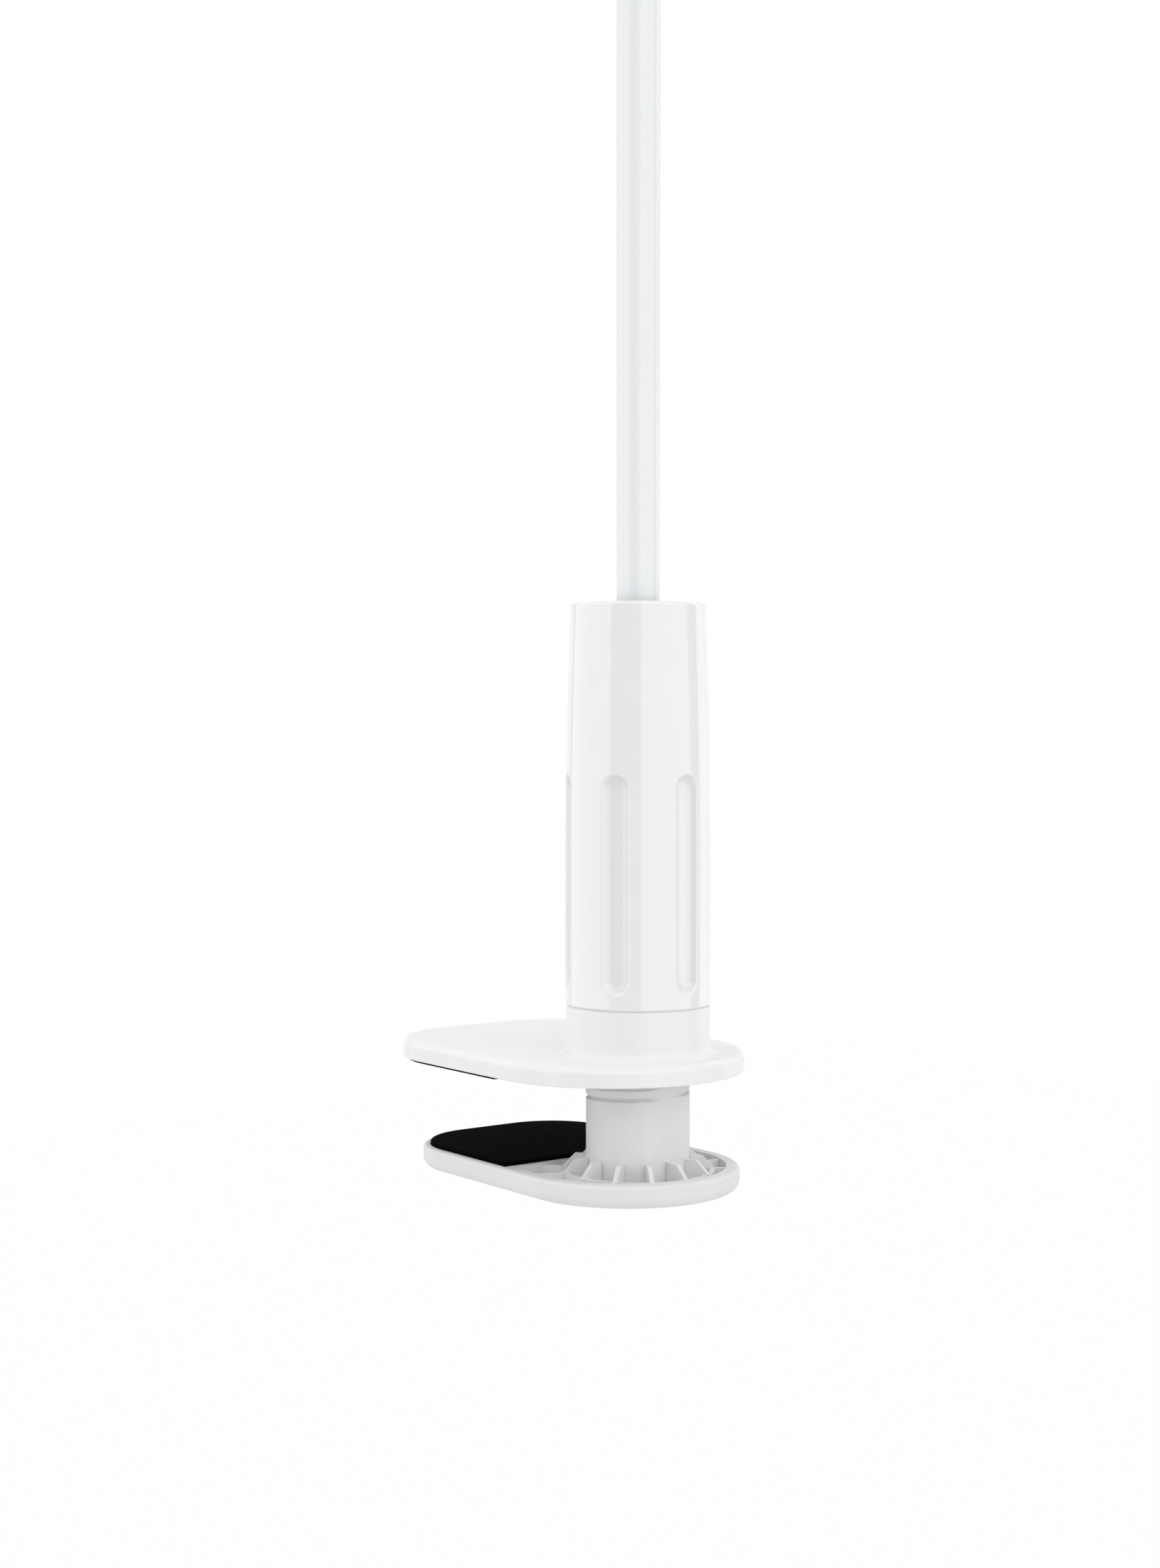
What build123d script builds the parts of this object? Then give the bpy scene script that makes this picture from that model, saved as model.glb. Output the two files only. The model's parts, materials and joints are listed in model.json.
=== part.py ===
"""Desk lamp on a screw clamp: a twist grip clamps a ribbed lower jaw to the desk,
a pole swings in the grip, and a level arm carries a tilting light bar.

Millimetres, +Z up. The origin is the middle of the face that rests on the desk top,
and +X points off the desk, towards the pole.
"""
import os
from math import sqrt

from build123d import *

os.makedirs("parts", exist_ok=True)

# Upper jaw: plan sizes are measured from the pole axis
AXIS_X = 49.0
PLATE_HALF_W = 37.1
PLATE_ARC_X = -11.7
PLATE_BACK_X = -80.8
PLATE_CORNER_R = 25.5
PLATE_T = 5.1
PLATE_EDGE_R = 2.0
NECK_R = 20.0
NECK_H = 13.7
NECK_FLARE = 4.0
PAD_SHOW = 1.2
PAD_SINK = 0.8
PAD_INSET = 1.2
PAD_FRONT_X = -18.5

# Turning fit between the neck's spigot and the grip
SEAM = 0.5
SPIGOT_R = 16.4
SPIGOT_H = 10.0
HOOK_REACH = 0.7
HOOK_H = 1.8
HOOK_SLOT_W = 3.0
HOOK_SLOT_H = 7.0
HOOK_SLOTS = 4
HOOK_SLOT_TURN = 45.0
THRUST_R = 19.7

# Clamp screw: a keyed stem that rises without turning
STEM_R = 14.4
STEM_FLAT_X = 13.05
STEM_WALL = 4.0
STEM_CROWN = 6.0
STEM_LEAD_IN = 1.0
CLAMP_GAP = 24.3
OPEN_TRAVEL = 30.0
CLOSE_TRAVEL = 12.0
NUT_GRIP_LEFT = 15.0
FOOT_PLATE_R = 19.0
FOOT_PLATE_T = 2.2
FOOT_SCREWS = 4
JAW_SCREW_RADIUS = 16.8
STEM_SCREW_RADIUS = 12.4
STEM_SCREW_L = 9.0
SCREW_TURN = 45.0
SCREW_R = 1.25
SCREW_HEAD_R = 1.9
SCREW_HEAD_H = 1.4

# Lower jaw: a tray with a ring, radial ribs and a bed for its pad
JAW_HALF_W = 31.7
JAW_ARC_X = -5.2
JAW_BACK_X = -76.0
JAW_CORNER_R = 22.0
JAW_H = 6.5
JAW_ROUND = 3.0
JAW_RIM_R = 1.2
JAW_WALL = 3.7
JAW_FLOOR = 3.6
HUB_FLOOR = 1.8
BED_X = -20.0
BED_WALL = 2.0
LOWER_PAD_SHOW = 1.0
LOWER_PAD_SINK = 1.5
LOWER_PAD_INSET = 2.1
RING_R = 21.4
RING_T = 1.4
RING_DROP = 0.4
RIB_COUNT = 13
RIB_T = 1.2
RIB_RISE = 3.7
RIB_FLAT_R = 17.8
WEB_T = 1.2
CORE_DEPTH = 3.0
CORE_X = 12.0
CORE_Y = 15.0
CORE_RIB = 2.0

# Twist grip
GRIP_H = 110.5
GRIP_STRAIGHT = 38.0
GRIP_R = 20.2
GRIP_TOP_R = 18.75
GRIP_EDGE_R = 1.0
GROOVES = 6
GROOVE_W = 7.9
GROOVE_DEPTH = 1.8
GROOVE_FOOT = 4.3
GROOVE_L = 59.4
GROOVE_TURN = 3.9
GRIP_COLLAR_H = 7.5
GRIP_HOOK_BAY = 5.0
GRIP_SHELF_H = 2.0
GRIP_SHELF_R = 15.2
NUT_R = 15.9
NUT_H = 20.0
NUT_KEYS = 3
NUT_KEY_W = 3.0
NUT_KEY_RISE = 1.0
CARRIER_R = 16.55
CARRIER_FLOOR = 3.0
CARRIER_DIP = 0.3
SCREW_ROOM = 3.0
BUSH_R = 8.5
BUSH_TOP_H = 12.0
BUSH_LOW_H = 10.0

# Pole
POLE_R = 6.0
POLE_WALL = 1.0
FOOT_T = 2.0
FOOT_PLUG_L = 12.0

# Elbow: two drums side by side on one bolt, with a hand knob
ELBOW_Z = 480.0
DRUM_R = 13.0
DRUM_W = 19.0
DRUM_EDGE_R = 1.2
SOCKET_R = 9.0
SOCKET_END = 34.0
TUBE_STOP = 14.0
SOCKET_EDGE = 1.0
WASHER_T = 0.5
WASHER_R = 12.0
BOLT_R = 3.0
BOLT_HEAD_R = 5.6
BOLT_HEAD_H = 4.0
BOLT_CAP_T = 1.4
KNOB_R = 12.5
KNOB_H = 14.0
KNOB_FLUTES = 8
KNOB_FLUTE_R = 3.2
KNOB_FLUTE_DEPTH = 1.2
KNOB_EDGE_R = 1.2
INSERT_R = 5.2
INSERT_H = 9.0

# Arm and the turning bracket at its tip
ARM_REACH = 364.0
TIP_GAP = 24.0
FERRULE_R = 8.0
FERRULE_L = 14.0
TIP_BUSH_L = 26.0
ROLL_R = 3.5
ROLL_CLIP_T = 1.0
ROLL_CLIP_R = 4.6
ROLL_GROOVE = 0.6
COLLAR_L = 11.0
BRACKET_NECK_R = 6.0
EYE_R = 7.5
EYE_W = 16.0
PIN_R = 2.5
PIN_HEAD_R = 4.2
PIN_HEAD_T = 1.6
PIN_CLIP_T = 1.2
TILT_WASHER_T = 0.3

# Light bar
HEAD_DROP = 22.0
HEAD_L = 290.0
SHELL_W = 30.0
SHELL_H = 14.0
SHELL_ROUND = 4.0
SHELL_TOP_T = 2.0
SHELL_WALL = 1.6
LIP_T = 1.0
LIP_W = 1.2
DIFFUSER_T = 2.0
END_PLAY = 0.3
BOARD_T = 1.2
LED_COUNT = 22
LED_PITCH = 10.0
LED_X = 2.8
LED_Y = 3.5
LED_T = 0.8
LED_BACK = 10.0
CAP_T = 3.0
CAP_PLUG_L = 4.0
CAP_PLUG_T = 1.5
LUG_T = 4.0
LUG_R = 7.0
LUG_BASE_L = 42.0
LUG_BASE_W = 22.0
LUG_BASE_T = 2.5
LUG_SCREW_X = 14.0
LUG_SCREW_Y = 34.0
INLET_W = 9.0
INLET_H = 3.3
INLET_L = 7.4
INLET_WALL = 0.35
INLET_SIDE = 0.8
TONGUE_T = 0.7
TONGUE_W = 6.6
BUTTON_SIDE = 1.0
BUTTON_R = 2.8
BUTTON_PROUD = 1.2
BUTTON_FLANGE_W = 8.6
BUTTON_FLANGE_H = 5.0
BUTTON_FLANGE_T = 0.8
BUTTON_TRAVEL = 0.6
SWITCH_W = 6.0
SWITCH_L = 5.0
PLUNGER_R = 1.2
DRIVER_W = 16.0
DRIVER_H = 4.0
DRIVER_L = 24.0
DRIVER_GAP = 6.0

# Clearances
FIT = 0.05
SEAT = 0.1
FREE = 0.3

# Heights and stations that follow from the sizes above
DRUM_BACK_Y = -DRUM_W / 2
PLATE_TOP = PAD_SHOW + PLATE_T
NECK_TOP = PLATE_TOP + NECK_H
SPIGOT_TOP = NECK_TOP + SPIGOT_H
BORE_R = STEM_R + FREE
BORE_FLAT_X = STEM_FLAT_X + FREE
GRIP_Z = NECK_TOP + SEAM
GRIP_TOP = GRIP_Z + GRIP_H
COLLAR_TOP = GRIP_Z + GRIP_COLLAR_H
SHELF_Z = COLLAR_TOP + GRIP_HOOK_BAY
NUT_Z = SHELF_Z + GRIP_SHELF_H
STEM_TOP = NUT_Z + NUT_GRIP_LEFT + OPEN_TRAVEL
CARRIER_Z = STEM_TOP + CLOSE_TRAVEL + SCREW_ROOM
POLE_Z = CARRIER_Z + CARRIER_FLOOR
RIM_Z = -(CLAMP_GAP + LOWER_PAD_SHOW)
JAW_Z = RIM_Z - JAW_H
STEM_Z = JAW_Z + FOOT_PLATE_T
HUB_TOP = STEM_Z + HUB_FLOOR
RING_TOP = RIM_Z - RING_DROP
TUBE_BORE_R = POLE_R - POLE_WALL
ARM_DRUM_Y = DRUM_BACK_Y + DRUM_W + WASHER_T
ARM_Y = ARM_DRUM_Y + DRUM_W / 2
KNOB_Y = ARM_DRUM_Y + DRUM_W + FREE
POLE_TOP = ELBOW_Z - TUBE_STOP
TUBE_START_X = AXIS_X - TUBE_STOP
HEAD_X = AXIS_X - ARM_REACH
TUBE_END_X = HEAD_X + TIP_GAP
SHELL_TOP = ELBOW_Z - HEAD_DROP
HEAD_Y0 = ARM_Y - HEAD_L / 2
HEAD_Y1 = ARM_Y + HEAD_L / 2
CAVITY_W = SHELL_W - 2 * SHELL_WALL
BOARD_Z = SHELL_TOP - SHELL_TOP_T - BOARD_T
DIFFUSER_Z = SHELL_TOP - SHELL_H + LIP_T
INLET_Z = BOARD_Z - INLET_H / 2
PLUG_TOP = BOARD_Z - SEAT
PLUG_FOOT = DIFFUSER_Z + DIFFUSER_T + SEAT
BUTTON_Z = (BOARD_Z + PLUG_FOOT + CAP_PLUG_T) / 2
SWITCH_H = 2 * (BOARD_Z - BUTTON_Z)
PLUG_SIDE_X = CAVITY_W / 2 - SEAT - CAP_PLUG_T
INLET_X = HEAD_X - PLUG_SIDE_X + INLET_SIDE + INLET_W / 2
BUTTON_X = HEAD_X + PLUG_SIDE_X - BUTTON_SIDE - BUTTON_FLANGE_W / 2

# Working planes: flat and radial ones on the pole axis, and cross ones that face +Y or -X
AXIS = Plane((AXIS_X, 0, 0))
RADIAL = Plane.XZ


def across(x, y, z):
    """Plane that faces +Y, with local X along X and local Y pointing down."""
    return Plane((x, y, z), x_dir=(1, 0, 0), z_dir=(0, 1, 0))


def along(x, y, z):
    """Plane that faces -X, with local X along +Y and local Y pointing down."""
    return Plane((x, y, z), x_dir=(0, 1, 0), z_dir=(-1, 0, 0))


def jaw_outline(half_w, arc_x, back_x, corner_r, mode=Mode.ADD):
    """Jaw plan: a half round front, straight sides and two wide back corners."""
    side = half_w - corner_r
    with BuildLine() as edge:
        CenterArc((arc_x, 0), half_w, -90, 180)
        Line((arc_x, half_w), (back_x + corner_r, half_w))
        CenterArc((back_x + corner_r, side), corner_r, 90, 90)
        Line((back_x, side), (back_x, -side))
        CenterArc((back_x + corner_r, -side), corner_r, 180, 90)
        Line((back_x + corner_r, -half_w), (arc_x, -half_w))
    make_face(edge.edges(), mode=mode)


def keyed_round(radius, flat_x, mode=Mode.ADD):
    """Circle with two opposite flats that face +X and -X."""
    with BuildSketch(mode=Mode.PRIVATE) as keyed:
        Circle(radius)
        Rectangle(2 * flat_x, 3 * radius, mode=Mode.INTERSECT)
    add(keyed.sketch, mode=mode)


def grip_radius(height):
    """Grip radius at a height above its foot: straight, then one arc that starts upright."""
    fall = GRIP_R - GRIP_TOP_R
    rise = GRIP_H - GRIP_STRAIGHT
    bend = (fall**2 + rise**2) / (2 * fall)
    return GRIP_R - bend + sqrt(bend**2 - max(height - GRIP_STRAIGHT, 0) ** 2)


# Upper jaw: flat plate, flared neck and a slotted spigot with snap hooks
with BuildPart(AXIS) as upper_jaw:
    with BuildSketch(AXIS.offset(PAD_SHOW)):
        jaw_outline(PLATE_HALF_W, PLATE_ARC_X, PLATE_BACK_X, PLATE_CORNER_R)
    extrude(amount=PLATE_T)
    fillet(upper_jaw.faces().sort_by(Axis.Z)[-1].edges(), PLATE_EDGE_R)
    with BuildSketch(AXIS.offset(PAD_SHOW)):
        jaw_outline(
            PLATE_HALF_W - PAD_INSET + SEAT,
            PLATE_ARC_X,
            PLATE_BACK_X + PAD_INSET - SEAT,
            PLATE_CORNER_R - PAD_INSET,
        )
        with Locations((PAD_FRONT_X + SEAT, 0)):
            Rectangle(
                2 * abs(PLATE_BACK_X),
                4 * PLATE_HALF_W,
                align=(Align.MAX, Align.CENTER),
                mode=Mode.INTERSECT,
            )
    extrude(amount=PAD_SINK, mode=Mode.SUBTRACT)
    with BuildSketch(Plane((AXIS_X, 0, 0), x_dir=(1, 0, 0), z_dir=(0, -1, 0))):
        with BuildLine():
            Line((0, PLATE_TOP), (NECK_R + NECK_FLARE, PLATE_TOP))
            CenterArc((NECK_R + NECK_FLARE, PLATE_TOP + NECK_FLARE), NECK_FLARE, 180, 90)
            Line((NECK_R, PLATE_TOP + NECK_FLARE), (NECK_R, NECK_TOP))
            Line((NECK_R, NECK_TOP), (SPIGOT_R, NECK_TOP))
            Line((SPIGOT_R, NECK_TOP), (SPIGOT_R, SPIGOT_TOP - HOOK_H))
            Line((SPIGOT_R, SPIGOT_TOP - HOOK_H), (SPIGOT_R + HOOK_REACH, SPIGOT_TOP - HOOK_H))
            Line((SPIGOT_R + HOOK_REACH, SPIGOT_TOP - HOOK_H), (SPIGOT_R, SPIGOT_TOP))
            Line((SPIGOT_R, SPIGOT_TOP), (0, SPIGOT_TOP))
            Line((0, SPIGOT_TOP), (0, PLATE_TOP))
        make_face()
    revolve(axis=Axis((AXIS_X, 0, 0), (0, 0, 1)))
    with BuildSketch(AXIS):
        keyed_round(BORE_R, BORE_FLAT_X)
    extrude(amount=SPIGOT_TOP, mode=Mode.SUBTRACT)
    with BuildSketch(AXIS.offset(SPIGOT_TOP)):
        with PolarLocations(SPIGOT_R, HOOK_SLOTS, start_angle=HOOK_SLOT_TURN):
            Rectangle(2 * (SPIGOT_R - BORE_R), HOOK_SLOT_W)
    extrude(amount=-HOOK_SLOT_H, mode=Mode.SUBTRACT)
upper_jaw.part.label = "upper_jaw"
export_step(upper_jaw.part, "parts/upper_jaw.step")

with BuildPart(AXIS) as upper_pad:
    with BuildSketch(AXIS):
        jaw_outline(
            PLATE_HALF_W - PAD_INSET,
            PLATE_ARC_X,
            PLATE_BACK_X + PAD_INSET,
            PLATE_CORNER_R - PAD_INSET,
        )
        with Locations((PAD_FRONT_X, 0)):
            Rectangle(
                2 * abs(PLATE_BACK_X),
                4 * PLATE_HALF_W,
                align=(Align.MAX, Align.CENTER),
                mode=Mode.INTERSECT,
            )
    extrude(amount=PAD_SHOW + PAD_SINK)
upper_pad.part.label = "upper_pad"
export_step(upper_pad.part, "parts/upper_pad.step")

with BuildPart(AXIS) as thrust_washer:
    with BuildSketch(AXIS.offset(NECK_TOP)):
        Circle(THRUST_R)
        Circle(SPIGOT_R + SEAT, mode=Mode.SUBTRACT)
    extrude(amount=SEAM)
thrust_washer.part.label = "thrust_washer"
export_step(thrust_washer.part, "parts/thrust_washer.step")

# Clamp screw: hollow keyed stem, closed at its top, with screw bosses in its foot
with BuildPart(AXIS) as clamp_screw:
    with BuildSketch(AXIS.offset(STEM_Z)):
        keyed_round(STEM_R, STEM_FLAT_X)
    extrude(amount=STEM_TOP - STEM_Z)
    chamfer(clamp_screw.faces().sort_by(Axis.Z)[-1].edges(), STEM_LEAD_IN)
    with BuildSketch(AXIS.offset(STEM_Z)):
        Circle(STEM_R - STEM_WALL)
    extrude(amount=STEM_TOP - STEM_CROWN - STEM_Z, mode=Mode.SUBTRACT)
    with BuildSketch(AXIS.offset(STEM_Z)):
        with PolarLocations(STEM_SCREW_RADIUS, FOOT_SCREWS, start_angle=SCREW_TURN):
            Circle(SCREW_R + FIT)
    extrude(amount=STEM_SCREW_L + FREE, mode=Mode.SUBTRACT)
clamp_screw.part.label = "clamp_screw"
export_step(clamp_screw.part, "parts/clamp_screw.step")

# Foot plate: closes the stem, and is screwed up into both the stem and the lower jaw
with BuildPart(AXIS) as foot_plate:
    with BuildSketch(AXIS.offset(JAW_Z)):
        Circle(FOOT_PLATE_R)
        with PolarLocations(STEM_SCREW_RADIUS, FOOT_SCREWS, start_angle=SCREW_TURN):
            Circle(SCREW_R + SEAT, mode=Mode.SUBTRACT)
        with PolarLocations(JAW_SCREW_RADIUS, FOOT_SCREWS):
            Circle(SCREW_R + SEAT, mode=Mode.SUBTRACT)
    extrude(amount=FOOT_PLATE_T)
    with BuildSketch(AXIS.offset(JAW_Z)):
        with PolarLocations(STEM_SCREW_RADIUS, FOOT_SCREWS, start_angle=SCREW_TURN):
            Circle(SCREW_HEAD_R + SEAT)
        with PolarLocations(JAW_SCREW_RADIUS, FOOT_SCREWS):
            Circle(SCREW_HEAD_R + SEAT)
    extrude(amount=SCREW_HEAD_H, mode=Mode.SUBTRACT)
foot_plate.part.label = "foot_plate"
export_step(foot_plate.part, "parts/foot_plate.step")

with BuildPart(AXIS) as foot_screws:
    with BuildSketch(AXIS.offset(JAW_Z)):
        with PolarLocations(STEM_SCREW_RADIUS, FOOT_SCREWS, start_angle=SCREW_TURN):
            Circle(SCREW_HEAD_R)
        with PolarLocations(JAW_SCREW_RADIUS, FOOT_SCREWS):
            Circle(SCREW_HEAD_R)
    extrude(amount=SCREW_HEAD_H)
    with BuildSketch(AXIS.offset(JAW_Z + SCREW_HEAD_H)):
        with PolarLocations(STEM_SCREW_RADIUS, FOOT_SCREWS, start_angle=SCREW_TURN):
            Circle(SCREW_R)
    extrude(amount=STEM_Z + STEM_SCREW_L - JAW_Z - SCREW_HEAD_H)
    with BuildSketch(AXIS.offset(JAW_Z + SCREW_HEAD_H)):
        with PolarLocations(JAW_SCREW_RADIUS, FOOT_SCREWS):
            Circle(SCREW_R)
    extrude(amount=HUB_TOP - JAW_Z - SCREW_HEAD_H)
foot_screws.part.label = "foot_screws"
export_step(foot_screws.part, "parts/foot_screws.step")

# One rib of the lower jaw, drawn on the radial plane of an axis at the origin
with BuildPart() as rib:
    with BuildSketch(RADIAL):
        with BuildLine():
            Polyline(
                (STEM_FLAT_X, HUB_TOP),
                (STEM_FLAT_X, RING_TOP + RIB_RISE),
                (RIB_FLAT_R, RING_TOP + RIB_RISE),
                (RING_R, RING_TOP),
                (RING_R, HUB_TOP),
                close=True,
            )
        make_face()
    extrude(amount=RIB_T / 2, both=True)

# Lower jaw: open tray, hub ring with ribs that hug the stem, webs out to the rim, pad bed
with BuildPart(AXIS) as lower_jaw:
    with BuildSketch(AXIS.offset(JAW_Z)):
        jaw_outline(JAW_HALF_W, JAW_ARC_X, JAW_BACK_X, JAW_CORNER_R)
    extrude(amount=JAW_H)
    fillet(lower_jaw.faces().sort_by(Axis.Z)[0].edges(), JAW_ROUND)
    fillet(lower_jaw.faces().sort_by(Axis.Z)[-1].edges(), JAW_RIM_R)
    with BuildSketch(AXIS.offset(RIM_Z)):
        jaw_outline(
            JAW_HALF_W - JAW_WALL,
            JAW_ARC_X,
            JAW_BACK_X + JAW_WALL,
            JAW_CORNER_R - JAW_WALL,
        )
        with Locations((BED_X, 0)):
            Rectangle(
                2 * abs(JAW_BACK_X),
                4 * JAW_HALF_W,
                align=(Align.MIN, Align.CENTER),
                mode=Mode.INTERSECT,
            )
    extrude(amount=JAW_FLOOR - JAW_H, mode=Mode.SUBTRACT)
    with BuildSketch(AXIS.offset(RIM_Z)):
        jaw_outline(
            JAW_HALF_W - LOWER_PAD_INSET + SEAT,
            JAW_ARC_X,
            JAW_BACK_X + LOWER_PAD_INSET - SEAT,
            JAW_CORNER_R - LOWER_PAD_INSET,
        )
        with Locations((BED_X - BED_WALL, 0)):
            Rectangle(
                2 * abs(JAW_BACK_X),
                4 * JAW_HALF_W,
                align=(Align.MAX, Align.CENTER),
                mode=Mode.INTERSECT,
            )
    extrude(amount=-LOWER_PAD_SINK, mode=Mode.SUBTRACT)
    with BuildSketch(AXIS.offset(JAW_Z + JAW_FLOOR)):
        with PolarLocations((RING_R + 2 * JAW_HALF_W) / 2, RIB_COUNT):
            Rectangle(2 * JAW_HALF_W - RING_R + RING_T, WEB_T)
        jaw_outline(
            JAW_HALF_W - JAW_WALL / 2,
            JAW_ARC_X,
            JAW_BACK_X + JAW_WALL,
            JAW_CORNER_R - JAW_WALL,
            mode=Mode.INTERSECT,
        )
        with Locations((BED_X - BED_WALL / 2, 0)):
            Rectangle(
                2 * abs(JAW_BACK_X),
                4 * JAW_HALF_W,
                align=(Align.MIN, Align.CENTER),
                mode=Mode.INTERSECT,
            )
    extrude(amount=RING_TOP - JAW_Z - JAW_FLOOR)
    with BuildSketch(AXIS.offset(JAW_Z + JAW_FLOOR)):
        Circle(RING_R)
    extrude(amount=RING_TOP - JAW_Z - JAW_FLOOR)
    with BuildSketch(AXIS.offset(HUB_TOP)):
        Circle(RING_R - RING_T)
    extrude(amount=2 * JAW_H, mode=Mode.SUBTRACT)
    with PolarLocations(0, RIB_COUNT):
        add(rib.part)
    with BuildSketch(AXIS.offset(JAW_Z)):
        keyed_round(STEM_R + SEAT, STEM_FLAT_X + SEAT)
    extrude(amount=4 * JAW_H, mode=Mode.SUBTRACT)
    with BuildSketch(AXIS.offset(JAW_Z)):
        Circle(FOOT_PLATE_R + SEAT)
    extrude(amount=FOOT_PLATE_T, mode=Mode.SUBTRACT)
    with BuildSketch(AXIS.offset(JAW_Z)):
        with PolarLocations(JAW_SCREW_RADIUS, FOOT_SCREWS):
            Circle(SCREW_R + FIT)
    extrude(amount=HUB_TOP - JAW_Z, mode=Mode.SUBTRACT)
    with BuildSketch(AXIS.offset(JAW_Z)):
        with Locations(((BED_X - BED_WALL + JAW_BACK_X) / 2, 0)):
            with GridLocations(CORE_X + CORE_RIB, CORE_Y + CORE_RIB, 3, 3):
                Rectangle(CORE_X, CORE_Y)
    extrude(amount=CORE_DEPTH, mode=Mode.SUBTRACT)
lower_jaw.part.label = "lower_jaw"
export_step(lower_jaw.part, "parts/lower_jaw.step")

with BuildPart(AXIS) as lower_pad:
    with BuildSketch(AXIS.offset(RIM_Z - LOWER_PAD_SINK)):
        jaw_outline(
            JAW_HALF_W - LOWER_PAD_INSET,
            JAW_ARC_X,
            JAW_BACK_X + LOWER_PAD_INSET,
            JAW_CORNER_R - LOWER_PAD_INSET,
        )
        with Locations((BED_X - BED_WALL - SEAT, 0)):
            Rectangle(
                2 * abs(JAW_BACK_X),
                4 * JAW_HALF_W,
                align=(Align.MAX, Align.CENTER),
                mode=Mode.INTERSECT,
            )
    extrude(amount=LOWER_PAD_SINK + LOWER_PAD_SHOW)
lower_pad.part.label = "lower_pad"
export_step(lower_pad.part, "parts/lower_pad.step")

# One finger groove: a round-ended cutter that leans with the grip's taper
HALF_W = GROOVE_W / 2
CHORD_R = sqrt(GRIP_R**2 - HALF_W**2)
BITE = GROOVE_DEPTH - GRIP_R + CHORD_R
GROOVE_R = (HALF_W**2 + BITE**2) / (2 * BITE)
GROOVE_OUT = CHORD_R - BITE + GROOVE_R - GRIP_R
LOW_H = GROOVE_FOOT + HALF_W
HIGH_H = GROOVE_FOOT + GROOVE_L - HALF_W
LOW_END = Vector(grip_radius(LOW_H) + GROOVE_OUT, 0, GRIP_Z + LOW_H)
HIGH_END = Vector(grip_radius(HIGH_H) + GROOVE_OUT, 0, GRIP_Z + HIGH_H)
with BuildPart() as groove:
    with BuildSketch(Plane(LOW_END, z_dir=HIGH_END - LOW_END)):
        Circle(GROOVE_R)
    extrude(amount=(HIGH_END - LOW_END).length)
    with Locations(LOW_END, HIGH_END):
        Sphere(GROOVE_R)

# Twist grip: sleeve with a tapered top and six finger grooves, stepped inside for hook, nut and carrier
with BuildPart(AXIS) as grip_sleeve:
    with BuildSketch(Plane((AXIS_X, 0, 0), x_dir=(1, 0, 0), z_dir=(0, -1, 0))):
        with BuildLine():
            Line((0, GRIP_Z), (GRIP_R, GRIP_Z))
            Line((GRIP_R, GRIP_Z), (GRIP_R, GRIP_Z + GRIP_STRAIGHT))
            TangentArc((GRIP_R, GRIP_Z + GRIP_STRAIGHT), (GRIP_TOP_R, GRIP_TOP), tangent=(0, 1))
            Line((GRIP_TOP_R, GRIP_TOP), (0, GRIP_TOP))
            Line((0, GRIP_TOP), (0, GRIP_Z))
        make_face()
    revolve(axis=Axis((AXIS_X, 0, 0), (0, 0, 1)))
    fillet(grip_sleeve.faces().sort_by(Axis.Z)[-1].edges(), GRIP_EDGE_R)
    with PolarLocations(0, GROOVES, start_angle=GROOVE_TURN):
        add(groove.part, mode=Mode.SUBTRACT)
    with BuildSketch(AXIS.offset(GRIP_Z)):
        Circle(SPIGOT_R + FIT)
    extrude(amount=GRIP_COLLAR_H, mode=Mode.SUBTRACT)
    with BuildSketch(AXIS.offset(COLLAR_TOP)):
        Circle(SPIGOT_R + HOOK_REACH + FREE)
    extrude(amount=GRIP_HOOK_BAY, mode=Mode.SUBTRACT)
    with BuildSketch(AXIS.offset(SHELF_Z)):
        Circle(GRIP_SHELF_R)
    extrude(amount=GRIP_SHELF_H, mode=Mode.SUBTRACT)
    with BuildSketch(AXIS.offset(NUT_Z)):
        Circle(NUT_R + FIT)
        with PolarLocations(NUT_R, NUT_KEYS, start_angle=GROOVE_TURN + 180 / GROOVES):
            Rectangle(2 * (NUT_KEY_RISE + FIT), NUT_KEY_W + 2 * FIT)
    extrude(amount=CARRIER_Z - NUT_Z, mode=Mode.SUBTRACT)
    with BuildSketch(AXIS.offset(CARRIER_Z)):
        Circle(CARRIER_R + FIT)
    extrude(amount=GRIP_TOP - CARRIER_Z, mode=Mode.SUBTRACT)
grip_sleeve.part.label = "grip_sleeve"
export_step(grip_sleeve.part, "parts/grip_sleeve.step")

with BuildPart(AXIS) as clamp_nut:
    with BuildSketch(AXIS.offset(NUT_Z)):
        Circle(NUT_R)
        with PolarLocations(NUT_R, NUT_KEYS, start_angle=GROOVE_TURN + 180 / GROOVES):
            Rectangle(2 * NUT_KEY_RISE, NUT_KEY_W)
        Circle(STEM_R + FREE, mode=Mode.SUBTRACT)
    extrude(amount=NUT_H)
clamp_nut.part.label = "clamp_nut"
export_step(clamp_nut.part, "parts/clamp_nut.step")

with BuildPart(AXIS) as pole_carrier:
    with BuildSketch(AXIS.offset(CARRIER_Z)):
        Circle(CARRIER_R)
    extrude(amount=GRIP_TOP - CARRIER_DIP - CARRIER_Z)
    with BuildSketch(AXIS.offset(POLE_Z)):
        Circle(BUSH_R + FIT)
    extrude(amount=GRIP_TOP - POLE_Z, mode=Mode.SUBTRACT)
pole_carrier.part.label = "pole_carrier"
export_step(pole_carrier.part, "parts/pole_carrier.step")

with BuildPart(AXIS) as upper_bush:
    with BuildSketch(AXIS.offset(GRIP_TOP - CARRIER_DIP)):
        Circle(BUSH_R)
        Circle(POLE_R + FIT, mode=Mode.SUBTRACT)
    extrude(amount=-BUSH_TOP_H)
upper_bush.part.label = "upper_bush"
export_step(upper_bush.part, "parts/upper_bush.step")

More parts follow.
